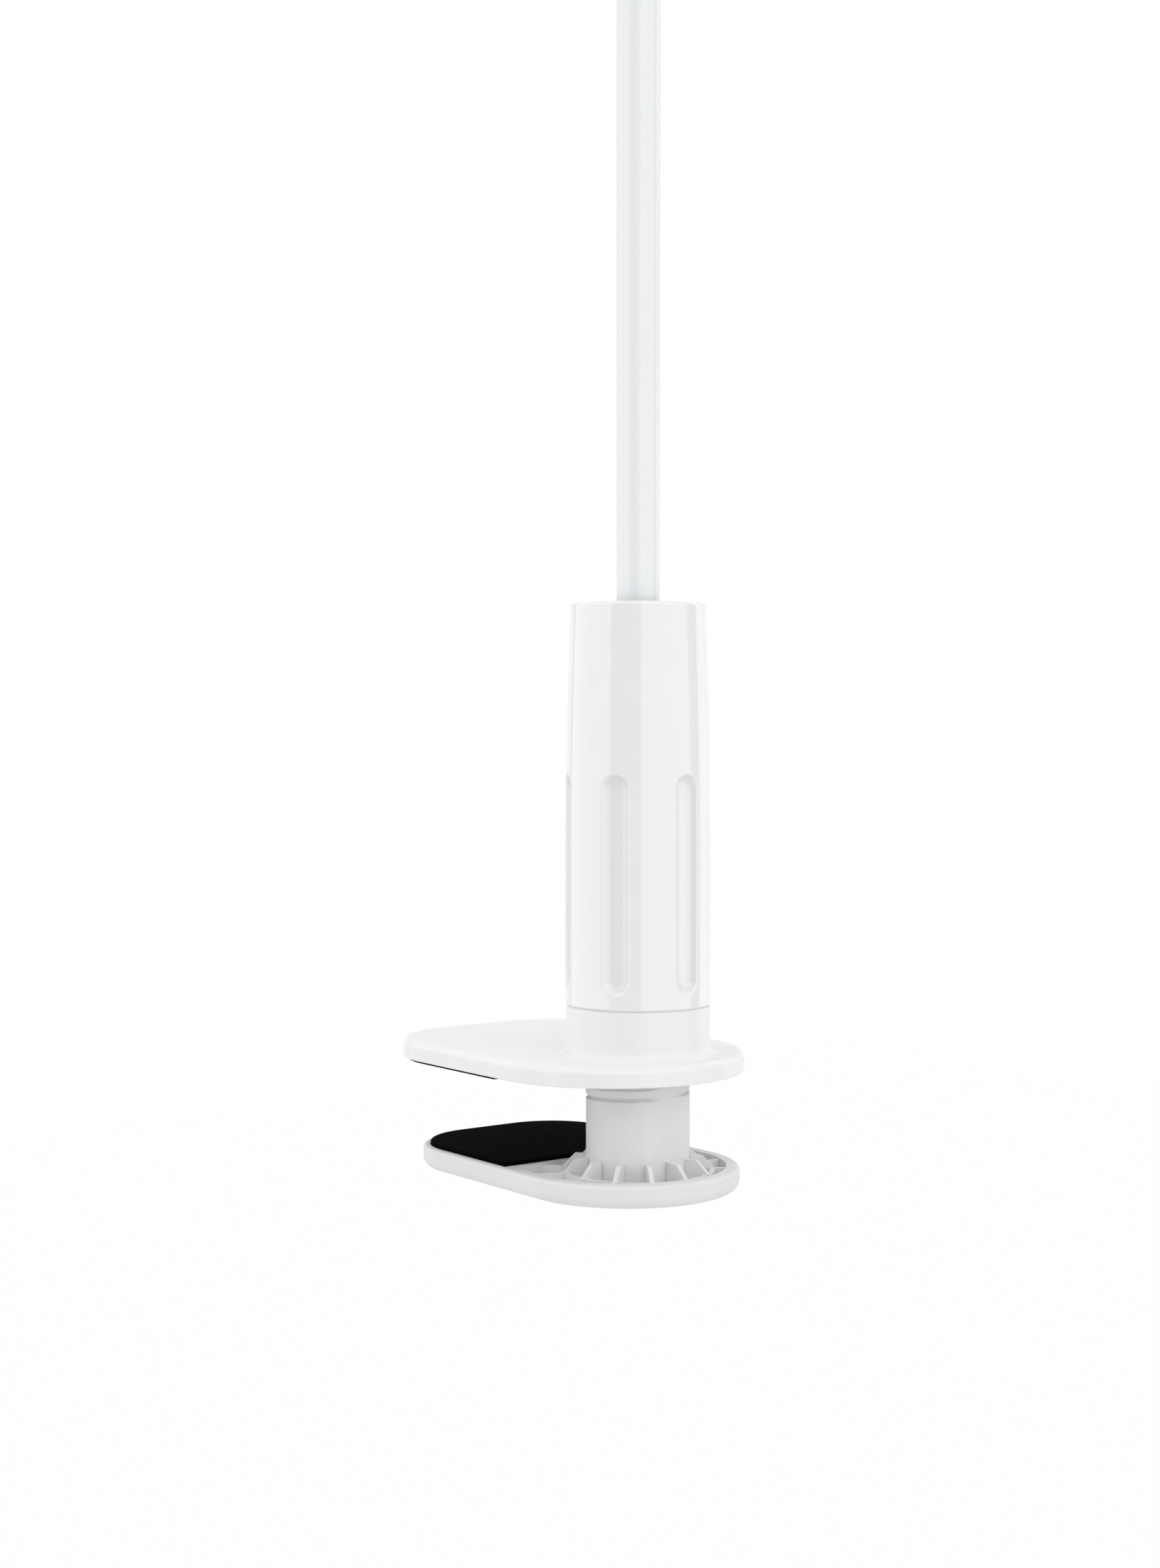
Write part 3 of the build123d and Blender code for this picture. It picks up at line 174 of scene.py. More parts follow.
class LampSizes(bpy.types.PropertyGroup):
    """Sizes of the moulded detail that the solids leave plain"""

    thread_pitch: bpy.props.FloatProperty(
        name="Thread pitch", description="Rise of the clamp screw in one turn",
        default=3.0 * MM, unit="LENGTH", precision=5)
    thread_depth: bpy.props.FloatProperty(
        name="Thread depth", description="Depth of the screw's groove below its crest",
        default=1.1 * MM, unit="LENGTH", precision=5)
    thread_width: bpy.props.FloatProperty(
        name="Thread width", description="Half the width of the screw's groove",
        default=0.55 * MM, unit="LENGTH", precision=5)
    thread_start: bpy.props.FloatProperty(
        name="Thread start", description="Height of the screw's groove on the stem's front flat",
        default=-1.15 * MM, unit="LENGTH", precision=5)
    thread_end: bpy.props.FloatProperty(
        name="Thread end", description="Height at which the thread runs out on the stem",
        default=-6.3 * MM, unit="LENGTH", precision=5)
    groove_depth: bpy.props.FloatProperty(
        name="Groove depth", description="Depth of a finger groove in the grip",
        default=2.4 * MM, unit="LENGTH", precision=5)
    groove_edge: bpy.props.FloatProperty(
        name="Groove edge", description="Softness of a finger groove's edge",
        default=0.3 * MM, unit="LENGTH", precision=5)
    pad_edge: bpy.props.FloatProperty(
        name="Pad edge", description="Rounding of the rubber pads' edges",
        default=0.5 * MM, unit="LENGTH", precision=5)


class LampColours(bpy.types.PropertyGroup):
    """Colours of the lamp's finishes"""

    shell: bpy.props.FloatVectorProperty(
        name="Gloss white", description="Polished clamp and grip", subtype="COLOR",
        default=(0.88, 0.885, 0.89))
    stem: bpy.props.FloatVectorProperty(
        name="Satin white", description="Clamp screw and lower jaw", subtype="COLOR",
        default=(0.80, 0.80, 0.805))
    pad: bpy.props.FloatVectorProperty(
        name="Rubber", description="Pads between the jaws", subtype="COLOR",
        default=(0.0025, 0.0025, 0.0028))
    tube: bpy.props.FloatVectorProperty(
        name="Tube", description="Pole and arm", subtype="COLOR",
        default=(0.87, 0.886, 0.902))
    bar: bpy.props.FloatVectorProperty(
        name="Bar paint", description="Painted light bar and its bracket", subtype="COLOR",
        default=(0.82, 0.825, 0.83))


class Value:
    """A shader socket in a sum: each operator on it adds one Math node."""

    def __init__(self, tree, socket):
        self.tree = tree
        self.socket = socket

    def math(self, operation, *others):
        """A Math node's result on this value and the others, in that order."""
        return self.tree.node("ShaderNodeMath", {"operation": operation}, (self, *others))

    def __add__(self, other):
        return self.math("ADD", other)

    __radd__ = __add__

    def __mul__(self, other):
        return self.math("MULTIPLY", other)

    __rmul__ = __mul__

    def __sub__(self, other):
        return self.math("SUBTRACT", other)

    def __rsub__(self, other):
        return self.tree.node("ShaderNodeMath", {"operation": "SUBTRACT"}, (other, self))

    def step(self, low, high):
        """0 below low, 1 above high and a smooth rise between them."""
        return self.tree.node(
            "ShaderNodeMapRange", {"interpolation_type": "SMOOTHSTEP", "clamp": True},
            {"Value": self, "From Min": low, "From Max": high})


class Tree:
    """A node tree that is built from expressions."""

    def __init__(self, tree):
        self.tree = tree

    def put(self, socket, value):
        """Links a Value to a socket, or sets the socket's own value."""
        if isinstance(value, Value):
            self.tree.links.new(value.socket, socket)
        elif isinstance(value, tuple) and len(value) == 3 and socket.type == "RGBA":
            socket.default_value = (*value, 1.0)
        else:
            socket.default_value = value

    def node(self, kind, settings=None, sockets=(), out=0):
        """Adds a node of that kind: its settings first, then its sockets by name or in order."""
        made = self.tree.nodes.new(kind)
        for key, value in (settings or {}).items():
            setattr(made, key, value)
        pairs = sockets.items() if isinstance(sockets, dict) else enumerate(sockets)
        for key, value in pairs:
            self.put(made.inputs[key], value)
        return Value(self, made.outputs[out])

    def parts(self, vector):
        """The x, y and z of a vector."""
        split = self.node("ShaderNodeSeparateXYZ", None, (vector,)).socket.node
        return [Value(self, socket) for socket in split.outputs]

    def rays(self, *kinds):
        """1 for a ray of one of these kinds and 0 for any other: the sum of its tests."""
        first, *rest = (self.node("ShaderNodeLightPath", out=f"Is {kind} Ray") for kind in kinds)
        return sum(rest, first)


class Finish(Tree):
    """A material: its surface shader's sockets are set by name."""

    def __init__(self, name, **sockets):
        self.material = bpy.data.materials.new(name)
        self.material.use_nodes = True
        super().__init__(self.material.node_tree)
        self.surface = self.tree.nodes["Principled BSDF"]
        self.set(**sockets)

    def set(self, **sockets):
        """Sets or links the surface shader's sockets, with _ for a space in a name."""
        for key, value in sockets.items():
            self.put(self.surface.inputs[key.replace("_", " ")], value)

    def place(self, stretch=(1.0, 1.0, 1.0)):
        """Object coordinates in metres, each times its stretch."""
        at = self.node("ShaderNodeTexCoord", out="Object")
        return self.node("ShaderNodeMapping", None, {"Vector": at, "Scale": stretch})

    def noise(self, size, detail=2.0, stretch=(1.0, 1.0, 1.0)):
        """Noise from 0 to 1 whose features are about size millimetres across."""
        return self.node(
            "ShaderNodeTexNoise", None,
            {"Vector": self.place(stretch), "Scale": 1.0 / (size * MM), "Detail": detail})

    def tone(self, share, colour, factor):
        """The colour where share is 0, running to the colour times factor where it is 1."""
        return self.node(
            "ShaderNodeMix", {"data_type": "RGBA"},
            {0: share, 6: tuple(colour), 7: scaled(colour, factor)}, 2)

    def bump(self, height, depth):
        """Normal bent by a height from 0 to 1 that stands for depth millimetres."""
        return self.node("ShaderNodeBump", None, {"Height": height, "Distance": depth * MM})


def scaled(colour, factor):
    """The colour with each channel times factor."""
    return tuple(channel * factor for channel in colour)


def polished_white(name, colour):
    """Polished moulding: faint flow waviness, handling haze in its gloss, clear top layer."""
    finish = Finish(name, Coat_Roughness=0.03, IOR=1.5)
    haze = finish.noise(9.0, 4.0)
    fine = finish.noise(0.7, 3.0)
    finish.set(
        Base_Color=finish.tone(haze.step(0.3, 0.75), colour, 0.985),
        Roughness=0.06 + 0.05 * haze + 0.02 * fine,
        Coat_Weight=0.8 + 0.2 * finish.noise(30.0),
        Normal=finish.bump(finish.noise(5.0, 1.0), 0.006))
    return finish.material


def moulded_white(name, colour):
    """Fine-matt moulding: even sheen with handling haze, shallow texture of the mould."""
    finish = Finish(name, IOR=1.5)
    haze = finish.noise(9.0, 4.0)
    fine = finish.noise(0.35, 3.0)
    finish.set(
        Base_Color=finish.tone(haze.step(0.3, 0.75), colour, 0.985),
        Roughness=0.20 + 0.05 * haze + 0.05 * fine,
        Normal=finish.bump(fine, 0.003))
    return finish.material


def satin_moulding(name, colour):
    """Satin moulding: spark-eroded grain, slight tone drift."""
    finish = Finish(name, IOR=1.49)
    grain = finish.noise(0.22, 3.0)
    drift = finish.noise(14.0, 3.0)
    finish.set(
        Base_Color=finish.tone(drift.step(0.3, 0.7), colour, 0.97),
        Roughness=0.40 + 0.14 * grain + 0.06 * drift,
        Normal=finish.bump(grain, 0.012))
    return finish.material


def pad_rubber(name, colour):
    """Matt rubber: pebbled skin, a dusty bloom in patches."""
    finish = Finish(name, IOR=1.35, Specular_IOR_Level=0.02)
    pebble = finish.node(
        "ShaderNodeTexVoronoi", {"feature": "SMOOTH_F1"},
        {"Vector": finish.place(), "Scale": 1.0 / (0.9 * MM), "Smoothness": 0.6})
    dust = finish.noise(6.0, 5.0)
    finish.set(
        Base_Color=finish.tone(dust.step(0.45, 0.8), colour, 1.8),
        Roughness=0.8 + 0.15 * dust,
        Normal=finish.bump(1 - pebble, 0.05))
    return finish.material


def drawn_tube(name, colour, lengthwise):
    """Lacquered tube: faint draw lines along its length under a satin clear coat."""
    finish = Finish(name, Coat_Roughness=0.15, IOR=1.5)
    squeeze = tuple(0.004 if axis == lengthwise else 1.0 for axis in range(3))
    lines = finish.noise(1.1, 2.0, squeeze)
    cloud = finish.noise(25.0, 2.0)
    finish.set(
        Base_Color=finish.tone(lines.step(0.3, 0.7), colour, 0.985),
        Roughness=0.17 + 0.06 * lines + 0.04 * cloud,
        Coat_Weight=0.3 + 0.2 * cloud,
        Normal=finish.bump(lines, 0.003))
    return finish.material


def painted_bar(name, colour):
    """Powder paint on metal: orange-peel skin, fine speckle of tone."""
    finish = Finish(name, IOR=1.5, Coat_Roughness=0.15)
    peel = finish.noise(0.9, 2.0)
    speck = finish.noise(0.18, 2.0)
    finish.set(
        Base_Color=finish.tone(speck.step(0.45, 0.75), colour, 0.975),
        Roughness=0.30 + 0.1 * peel,
        Coat_Weight=0.25 + 0.2 * finish.noise(40.0),
        Normal=finish.bump(peel, 0.012))
    return finish.material


def bearing_plastic(name, colour):
    """Turned bearing plastic: close tool rings, waxy gloss."""
    finish = Finish(name, IOR=1.48)
    rings = finish.noise(0.3, 2.0, (0.05, 0.05, 1.0))
    finish.set(
        Base_Color=finish.tone(rings, colour, 1.25),
        Roughness=0.35 + 0.15 * rings,
        Normal=finish.bump(rings, 0.01))
    return finish.material


def plated_metal(name, colour, roughness=0.26):
    """Plated or machined metal: fine brush marks along y and small stains."""
    finish = Finish(name, Metallic=1.0)
    brush = finish.noise(0.12, 4.0, (1.0, 0.08, 1.0))
    stain = finish.noise(3.0, 5.0)
    finish.set(
        Base_Color=finish.tone(stain.step(0.4, 0.8), colour, 0.86),
        Roughness=roughness + 0.12 * brush + 0.08 * stain,
        Normal=finish.bump(brush, 0.006))
    return finish.material


def light_board(name, colour):
    """Solder mask over copper: wide tracks stand a little proud and show through the white."""
    finish = Finish(name, IOR=1.5)
    x = finish.parts(finish.place())[0]
    pitch = (x * (1.0 / (4.4 * MM))).math("FRACT")
    track = pitch.step(0.06, 0.12) * (1 - pitch.step(0.88, 0.94))
    speck = finish.noise(0.4, 2.0)
    finish.set(
        Base_Color=finish.tone(1 - track, colour, 0.93),
        Roughness=0.34 + 0.1 * speck,
        Normal=finish.bump(track, 0.04))
    return finish.material


def phosphor(name, colour):
    """Light chip: yellow phosphor gel, grainy at close range."""
    finish = Finish(name, IOR=1.45)
    grain = finish.noise(0.15, 3.0)
    finish.set(
        Base_Color=finish.tone(grain, colour, 0.85),
        Roughness=0.25 + 0.2 * grain,
        Normal=finish.bump(grain, 0.02))
    return finish.material


def black_moulding(name, colour):
    """Black component body: fine matt grain."""
    finish = Finish(name, IOR=1.5)
    grain = finish.noise(0.2, 3.0)
    finish.set(
        Base_Color=finish.tone(grain, colour, 1.6),
        Roughness=0.5 + 0.2 * grain,
        Normal=finish.bump(grain, 0.015))
    return finish.material


def opal_sheet(name, colour):
    """Opal diffuser: milky body that lets light in, faint prism lines that are a sine of x."""
    finish = Finish(name, IOR=1.49, Subsurface_Weight=0.35, Subsurface_Radius=(0.004, 0.004, 0.004))
    x = finish.parts(finish.place())[0]
    wave = (x * (2 * math.pi / (1.2 * MM))).math("SINE") * 0.5 + 0.5
    cloud = finish.noise(20.0, 2.0)
    finish.set(
        Base_Color=finish.tone(cloud, colour, 0.98),
        Roughness=0.32 + 0.12 * cloud,
        Normal=finish.bump(wave, 0.03))
    return finish.material


def finishes(colours):
    """A material for each of the record's slots, and for the nodes that differ from theirs."""
    slots = {m["slot"]: tuple(m["base_color"][:3]) for m in frame["record"]["materials"]}
    return {
        "gloss_white": polished_white("gloss_white_moulding", colours.shell),
        "upper_jaw": moulded_white("upper_jaw_moulding", colours.shell),
        "hub_white": polished_white("hub_white_moulding", scaled(colours.shell, 0.95)),
        "satin_white": satin_moulding("satin_white_moulding", colours.stem),
        "cap_white": satin_moulding("cap_white_moulding", colours.bar),
        "pad_black": pad_rubber("pad_rubber_skin", colours.pad),
        "tube_silver": drawn_tube("pole_lacquer", colours.tube, 2),
        "arm_tube": drawn_tube("arm_lacquer", colours.tube, 0),
        "bearing_grey": bearing_plastic("bearing_grey_turned", slots["bearing_grey"]),
        "steel": plated_metal("steel_plated", slots["steel"]),
        "insert_brass": plated_metal("brass_machined", slots["insert_brass"], 0.3),
        "head_white": painted_bar("bar_paint", colours.bar),
        "board_white": light_board("board_mask", slots["board_white"]),
        "led_yellow": phosphor("chip_phosphor", slots["led_yellow"]),
        "component_black": black_moulding("component_body", slots["component_black"]),
        "diffuser_opal": opal_sheet("diffuser_sheet", slots["diffuser_opal"]),
    }


def wear(obj, material):
    """Gives obj one material."""
    obj.data.materials.clear()
    obj.data.materials.append(material)


def section(corners, steps=6):
    """Closed outline through (across, up, rounding, fractions) corners, in millimetres.

    Each corner becomes an arc of that rounding, in steps, with a point held a little
    outside each end of the arc so that the runs stay flat; fractions are where extra
    points go on the run to the next corner.
    """
    spots = np.array([corner[:2] for corner in corners], float)
    ahead = np.roll(spots, -1, 0) - spots
    length = np.linalg.norm(ahead, axis=1)
    ahead /= length[:, None]
    behind = -np.roll(ahead, 1, 0)
    parts = []
    for index, (spot, corner) in enumerate(zip(spots, corners)):
        rounding = corner[2]
        if rounding > 0:
            inner = np.dot(behind[index], ahead[index])
            half = math.acos(np.clip(inner, -1, 1)) / 2
            reach = rounding / math.tan(half)
            heart = spot + (behind[index] + ahead[index]) * rounding / math.sin(2 * half)
            start = spot + behind[index] * reach - heart
            end = spot + ahead[index] * reach - heart
            sweep = np.linspace(0, 1, steps + 1)[:, None]
            angle = math.acos(np.clip(np.dot(start, end) / rounding**2, -1, 1))
            arc = (np.sin((1 - sweep) * angle) * start + np.sin(sweep * angle) * end) / math.sin(angle)
            parts.append(spot + behind[index] * (reach + NEAR))
            parts.append(heart + arc)
            parts.append(spot + ahead[index] * (reach + NEAR))
        else:
            parts.append(spot + behind[index] * NEAR)
            parts.append(spot)
            parts.append(spot + ahead[index] * NEAR)
        if len(corner) > 3:
            run = np.asarray(corner[3])[:, None] * length[index]
            parts.append(spot + run * ahead[index])
    return np.concatenate([np.atleast_2d(part) for part in parts])


def merge_doubles(mesh):
    """Joins points that lie on each other, so that a folded end row becomes a closed cap."""
    shape = bmesh.new()
    shape.from_mesh(mesh)
    bmesh.ops.remove_doubles(shape, verts=shape.verts, dist=1e-7)
    shape.to_mesh(mesh)
    shape.free()


def surface(name, points, node, body, close_rows=True):
    """Piece in place of a node, on a (rows, columns, 3) grid in millimetres or a stack of such grids.

    Columns close. Rows close too, or else the first and last rows each fold flat into
    a cap whose doubled points are merged. The faces are turned outwards by the sign of
    the volume that they enclose. The piece wears the node's finish.
    """
    grids = points if points.ndim == 4 else points[None]
    copies, rows, columns = grids.shape[:3]
    place = grids.reshape(-1, 3) * MM
    row, column = np.meshgrid(
        np.arange(rows if close_rows else rows - 1), np.arange(columns), indexing="ij")
    up, on = (row + 1) % rows, (column + 1) % columns
    quads = np.stack(
        [row * columns + column, row * columns + on, up * columns + on, up * columns + column], -1)
    quads = (np.arange(copies)[:, None, None] * rows * columns + quads.reshape(-1, 4)).reshape(-1, 4)
    a, b, c, d = (place[quads[:, k]] for k in range(4))
    volume = np.einsum("ij,ij->", a, np.cross(b, c)) + np.einsum("ij,ij->", a, np.cross(c, d))
    if volume < 0:
        quads = quads[:, ::-1]
    mesh = bpy.data.meshes.new(name)
    mesh.vertices.add(len(place))
    mesh.vertices.foreach_set("co", place.ravel())
    mesh.loops.add(quads.size)
    mesh.loops.foreach_set("vertex_index", quads.ravel())
    mesh.polygons.add(len(quads))
    mesh.polygons.foreach_set("loop_start", np.arange(0, quads.size, 4))
    mesh.polygons.foreach_set("use_smooth", np.ones(len(quads), bool))
    mesh.update(calc_edges=True)
    if not close_rows:
        merge_doubles(mesh)
    mesh.validate()
    piece = bpy.data.objects.new(name, mesh)
    bpy.context.scene.collection.objects.link(piece)
    wear(piece, frame["nodes"][node].data.materials[0])
    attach(piece, body)
    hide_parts(node)


def box_of(node):
    """A node's lowest and highest corners in millimetres."""
    return [np.array(corner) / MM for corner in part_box(node)]


def plate_plan(inset=0.0):
    """Closed outline of the plate from the pole's axis, drawn in by inset.

    It is a half round at the front, then a straight side, a quarter round corner, the
    straight back, the other corner and the other side. The same place in the list is
    the same place on every inset outline.
    """
    half = PLATE_HALF_W - inset
    rounding = PLATE_CORNER_R - inset
    heart_x = PLATE_BACK_X + PLATE_CORNER_R
    heart_y = PLATE_HALF_W - PLATE_CORNER_R
    front, side, corner, back = (np.linspace(0, 1, n, endpoint=False) for n in PLAN_COLUMNS)

    def bend(x, y, radius, start, share):
        """Arc: its centre plus the radius times the angle's cosine and sine."""
        angle = np.radians(start + share)
        return np.stack([x + radius * np.cos(angle), y + radius * np.sin(angle)], -1)

    def run(first, last, share):
        """Straight line: the first point plus a share of the way to the last."""
        return np.array(first) + share[:, None] * (np.array(last) - np.array(first))

    return np.concatenate([
        bend(PLATE_ARC_X, 0.0, half, -90.0, 180.0 * front),
        run((PLATE_ARC_X, half), (heart_x, half), side),
        bend(heart_x, heart_y, rounding, 90.0, 90.0 * corner),
        run((heart_x - rounding, heart_y), (heart_x - rounding, -heart_y), back),
        bend(heart_x, -heart_y, rounding, 180.0, 90.0 * corner),
        run((heart_x, -half), (PLATE_ARC_X, -half), side),
    ])


def keyed(angle, radius, flat):
    """Radius of a round with two flats that face +X and -X, at each angle.

    It is the round's radius or, where that is less, the flat's distance over the cosine.
    """
    return np.minimum(radius, flat / np.maximum(np.abs(np.cos(angle)), 1e-9))


def on_axis(radius, angle, height):
    """Points about the pole's axis: the radius times the angle's cosine and sine, at a height."""
    radius, angle, height = np.broadcast_arrays(radius, angle, height)
    return np.stack(
        [AXIS_X + radius * np.cos(angle), radius * np.sin(angle), height], -1)


class LAMP_OT_finishes(bpy.types.Operator):
    """Give every solid the finish of its record slot"""

    bl_idname = "lamp.finishes"
    bl_label = "Finishes"

    def execute(self, context):
        made = finishes(context.scene.lamp_colours)
        for part in frame["record"]["subparts"]:
            node, slot_name = part["node"], part["material_slot"]
            wear(frame["nodes"][node], made.get(node, made[slot_name]))
        return {"FINISHED"}


class LAMP_OT_grip(bpy.types.Operator):
    """Twist grip with soft-edged finger grooves"""

    bl_idname = "lamp.grip"
    bl_label = "Twist grip"

    def execute(self, context):
        # The section is carried round the pole's axis, with its outside less the taper and the grooves
        sizes = context.scene.lamp_sizes
        outline = self.outline()
        height = outline[:, 1]
        outer = outline[:, 0] > HOOK_SPACE_R + HOLD
        radius = outline[:, 0] - np.where(outer, self.taper(height), 0.0)
        angle = np.linspace(0, 2 * np.pi, GRIP_COLUMNS, endpoint=False)
        bite = self.bite(
            radius[:, None], angle, height[:, None], sizes.groove_depth / MM, sizes.groove_edge / MM)
        points = on_axis(
            radius[:, None] - np.where(outer[:, None], bite, 0.0), angle, height[:, None])
        surface("twist_grip", points, "grip_sleeve", "grip")
        return {"FINISHED"}

    def outline(self):
        """Section of the untapered wall, up its outside and down the steps of its bore.

        The outside has runs of rows, each with its lowest and highest and how many they
        are. They stand close at the grooves' round ends, where the wall bends most.
        """
        low = GROOVE_LOW + GROOVE_W / 2
        high = GROOVE_HIGH - GROOVE_W / 2
        runs = (
            (GRIP_FOOT + 1.0, GRIP_FOOT + 1.0, 1),
            (low - 5.5, low + 5.5, 34),
            (low + 8.0, high - 8.0, 14),
            (high - 5.5, high + 5.5, 34),
            (GROOVE_HIGH + 4.0, GRIP_TOP - 2.0, 22))
        heights = np.concatenate([np.linspace(*run) for run in runs])
        hook_low, hook_high = HOOK_SPACE
        return section([
            (SOCKET_R, GRIP_FOOT, 0.2),
            (GRIP_R, GRIP_FOOT, 0.35, (heights - GRIP_FOOT) / (GRIP_TOP - GRIP_FOOT)),
            (GRIP_R, GRIP_TOP, GRIP_TOP_ROUND),
            (CARRIER_BORE_R, GRIP_TOP, 0.3),
            (CARRIER_BORE_R, CARRIER_FLOOR, 0.0),
            (NUT_BORE_R, CARRIER_FLOOR, 0.0),
            (NUT_BORE_R, LEDGE_TOP, 0.0),
            (LEDGE_R, LEDGE_TOP, 0.0),
            (LEDGE_R, hook_high, 0.0),
            (HOOK_SPACE_R, hook_high, 0.0),
            (HOOK_SPACE_R, hook_low, 0.0),
            (SOCKET_R, hook_low, 0.0)])

    def taper(self, height):
        """How far the wall falls in above its straight foot, on one large circle.

        It is the circle's radius less the root of that radius squared less the rise
        squared. The radius is the one that gives the top's width.
        """
        fall = GRIP_R - GRIP_TOP_R
        rise = GRIP_TOP - GRIP_FOOT - GRIP_STRAIGHT
        bend = (fall**2 + rise**2) / (2 * fall)
        above = np.maximum(height - GRIP_FOOT - GRIP_STRAIGHT, 0)
        return bend - np.sqrt(bend**2 - above**2)

    def bite(self, radius, angle, height, depth, edge):
        """Depth of the finger grooves: one less the fourth power of the distance from a midline.

        The distance counts in half widths from an upright line, so the ends are round.
        The mean of the depth and of the root of its square plus the edge's square keeps
        it above zero and rounds the edge.
        """
        half = GROOVE_W / 2
        turn = 2 * np.pi / GROOVES
        aside = (angle - GROOVE_TURN + turn / 2) % turn - turn / 2
        over = height - np.clip(height, GROOVE_LOW + half, GROOVE_HIGH - half)
        far = (radius * aside) ** 2 + over**2
        raw = depth * (1 - (far / half**2) ** 2)
        return (raw + np.sqrt(raw**2 + edge**2)) / 2


class LAMP_OT_plate(bpy.types.Operator):
    """Upper jaw: plate with a rolled edge that flares up into the neck"""

    bl_idname = "lamp.plate"
    bl_label = "Upper jaw"

    def execute(self, context):
        # A row is one closed line round the pole's axis: an outline of the plate's plan, or a ring with
        # a point at the bearing of each of the plan's points. The rows run out along the underside, round
        # the rolled edge, up the neck and the hooked spigot and down the keyed bore
        plan = plate_plan()
        angle = np.arctan2(plan[:, 1], plan[:, 0])
        bore = keyed(angle, BORE_R, BORE_FLAT)
        rows = []

        def ring(radius, height):
            """Adds a row at a radius from the axis."""
            rows.append(on_axis(radius, angle, height))

        def outline(inset, height):
            """Adds a row on the plan, drawn in by inset."""
            edge = plate_plan(inset)
            rows.append(np.stack(
                [AXIS_X + edge[:, 0], edge[:, 1], np.full(len(edge), height)], -1))

        def fillet(radius, start, end, steps):
            """Radius times the cosine and the sine of each angle between two, in degrees."""
            sweep = np.radians(np.linspace(start, end, steps + 1))
            return zip(radius * np.cos(sweep), radius * np.sin(sweep))

        ring(bore, PLATE_UNDER)
        ring(bore + HOLD, PLATE_UNDER)
        outline(PLATE_BREAK + 4 * HOLD, PLATE_UNDER)
        for out, up in fillet(PLATE_BREAK, -90, 0, 4):
            outline(PLATE_BREAK - out, PLATE_UNDER + PLATE_BREAK + up)
        outline(0.0, PLATE_UNDER + PLATE_BREAK + HOLD)
        outline(0.0, PLATE_TOP - PLATE_EDGE - HOLD)
        for out, up in fillet(PLATE_EDGE, 0, 90, 14):
            outline(PLATE_EDGE - out, PLATE_TOP - PLATE_EDGE + up)
        outline(PLATE_EDGE + NEAR, PLATE_TOP)
        # The flare is a quarter arc, narrower where the plan's edge is too near for all of it
        border = plate_plan(PLATE_EDGE + NEAR)
        reach = np.minimum(NECK_FLARE, np.hypot(border[:, 0], border[:, 1]) - NECK_R - FLARE_GAP)
        ring(NECK_R + reach + HOLD, PLATE_TOP)
        for out, up in fillet(NECK_FLARE, 270, 180, 16):
            ring(NECK_R + reach * (1 + out / NECK_FLARE), PLATE_TOP + NECK_FLARE + up)
        ring(NECK_R, PLATE_TOP + NECK_FLARE + HOLD)
        ring(NECK_R, NECK_TOP - NECK_BREAK - HOLD)
        for out, up in fillet(NECK_BREAK, 0, 90, 5):
            ring(NECK_R - NECK_BREAK + out, NECK_TOP - NECK_BREAK + up)
        hook = SPIGOT_TOP - HOOK_H
        for radius, height in (
                (NECK_R - NECK_BREAK - HOLD, NECK_TOP),
                (SPIGOT_R + HOLD, NECK_TOP), (SPIGOT_R, NECK_TOP), (SPIGOT_R, NECK_TOP + HOLD),
                (SPIGOT_R, hook - HOLD), (SPIGOT_R, hook), (HOOK_R, hook), (HOOK_R, hook + HOLD),
                (SPIGOT_R, SPIGOT_TOP), (SPIGOT_R - HOLD, SPIGOT_TOP),
                (bore + HOLD, SPIGOT_TOP), (bore, SPIGOT_TOP), (bore, SPIGOT_TOP - HOLD),
                (bore, PLATE_UNDER + HOLD)):
            ring(radius, height)
        surface("clamp_plate", np.stack(rows), "upper_jaw", "clamp")
        return {"FINISHED"}


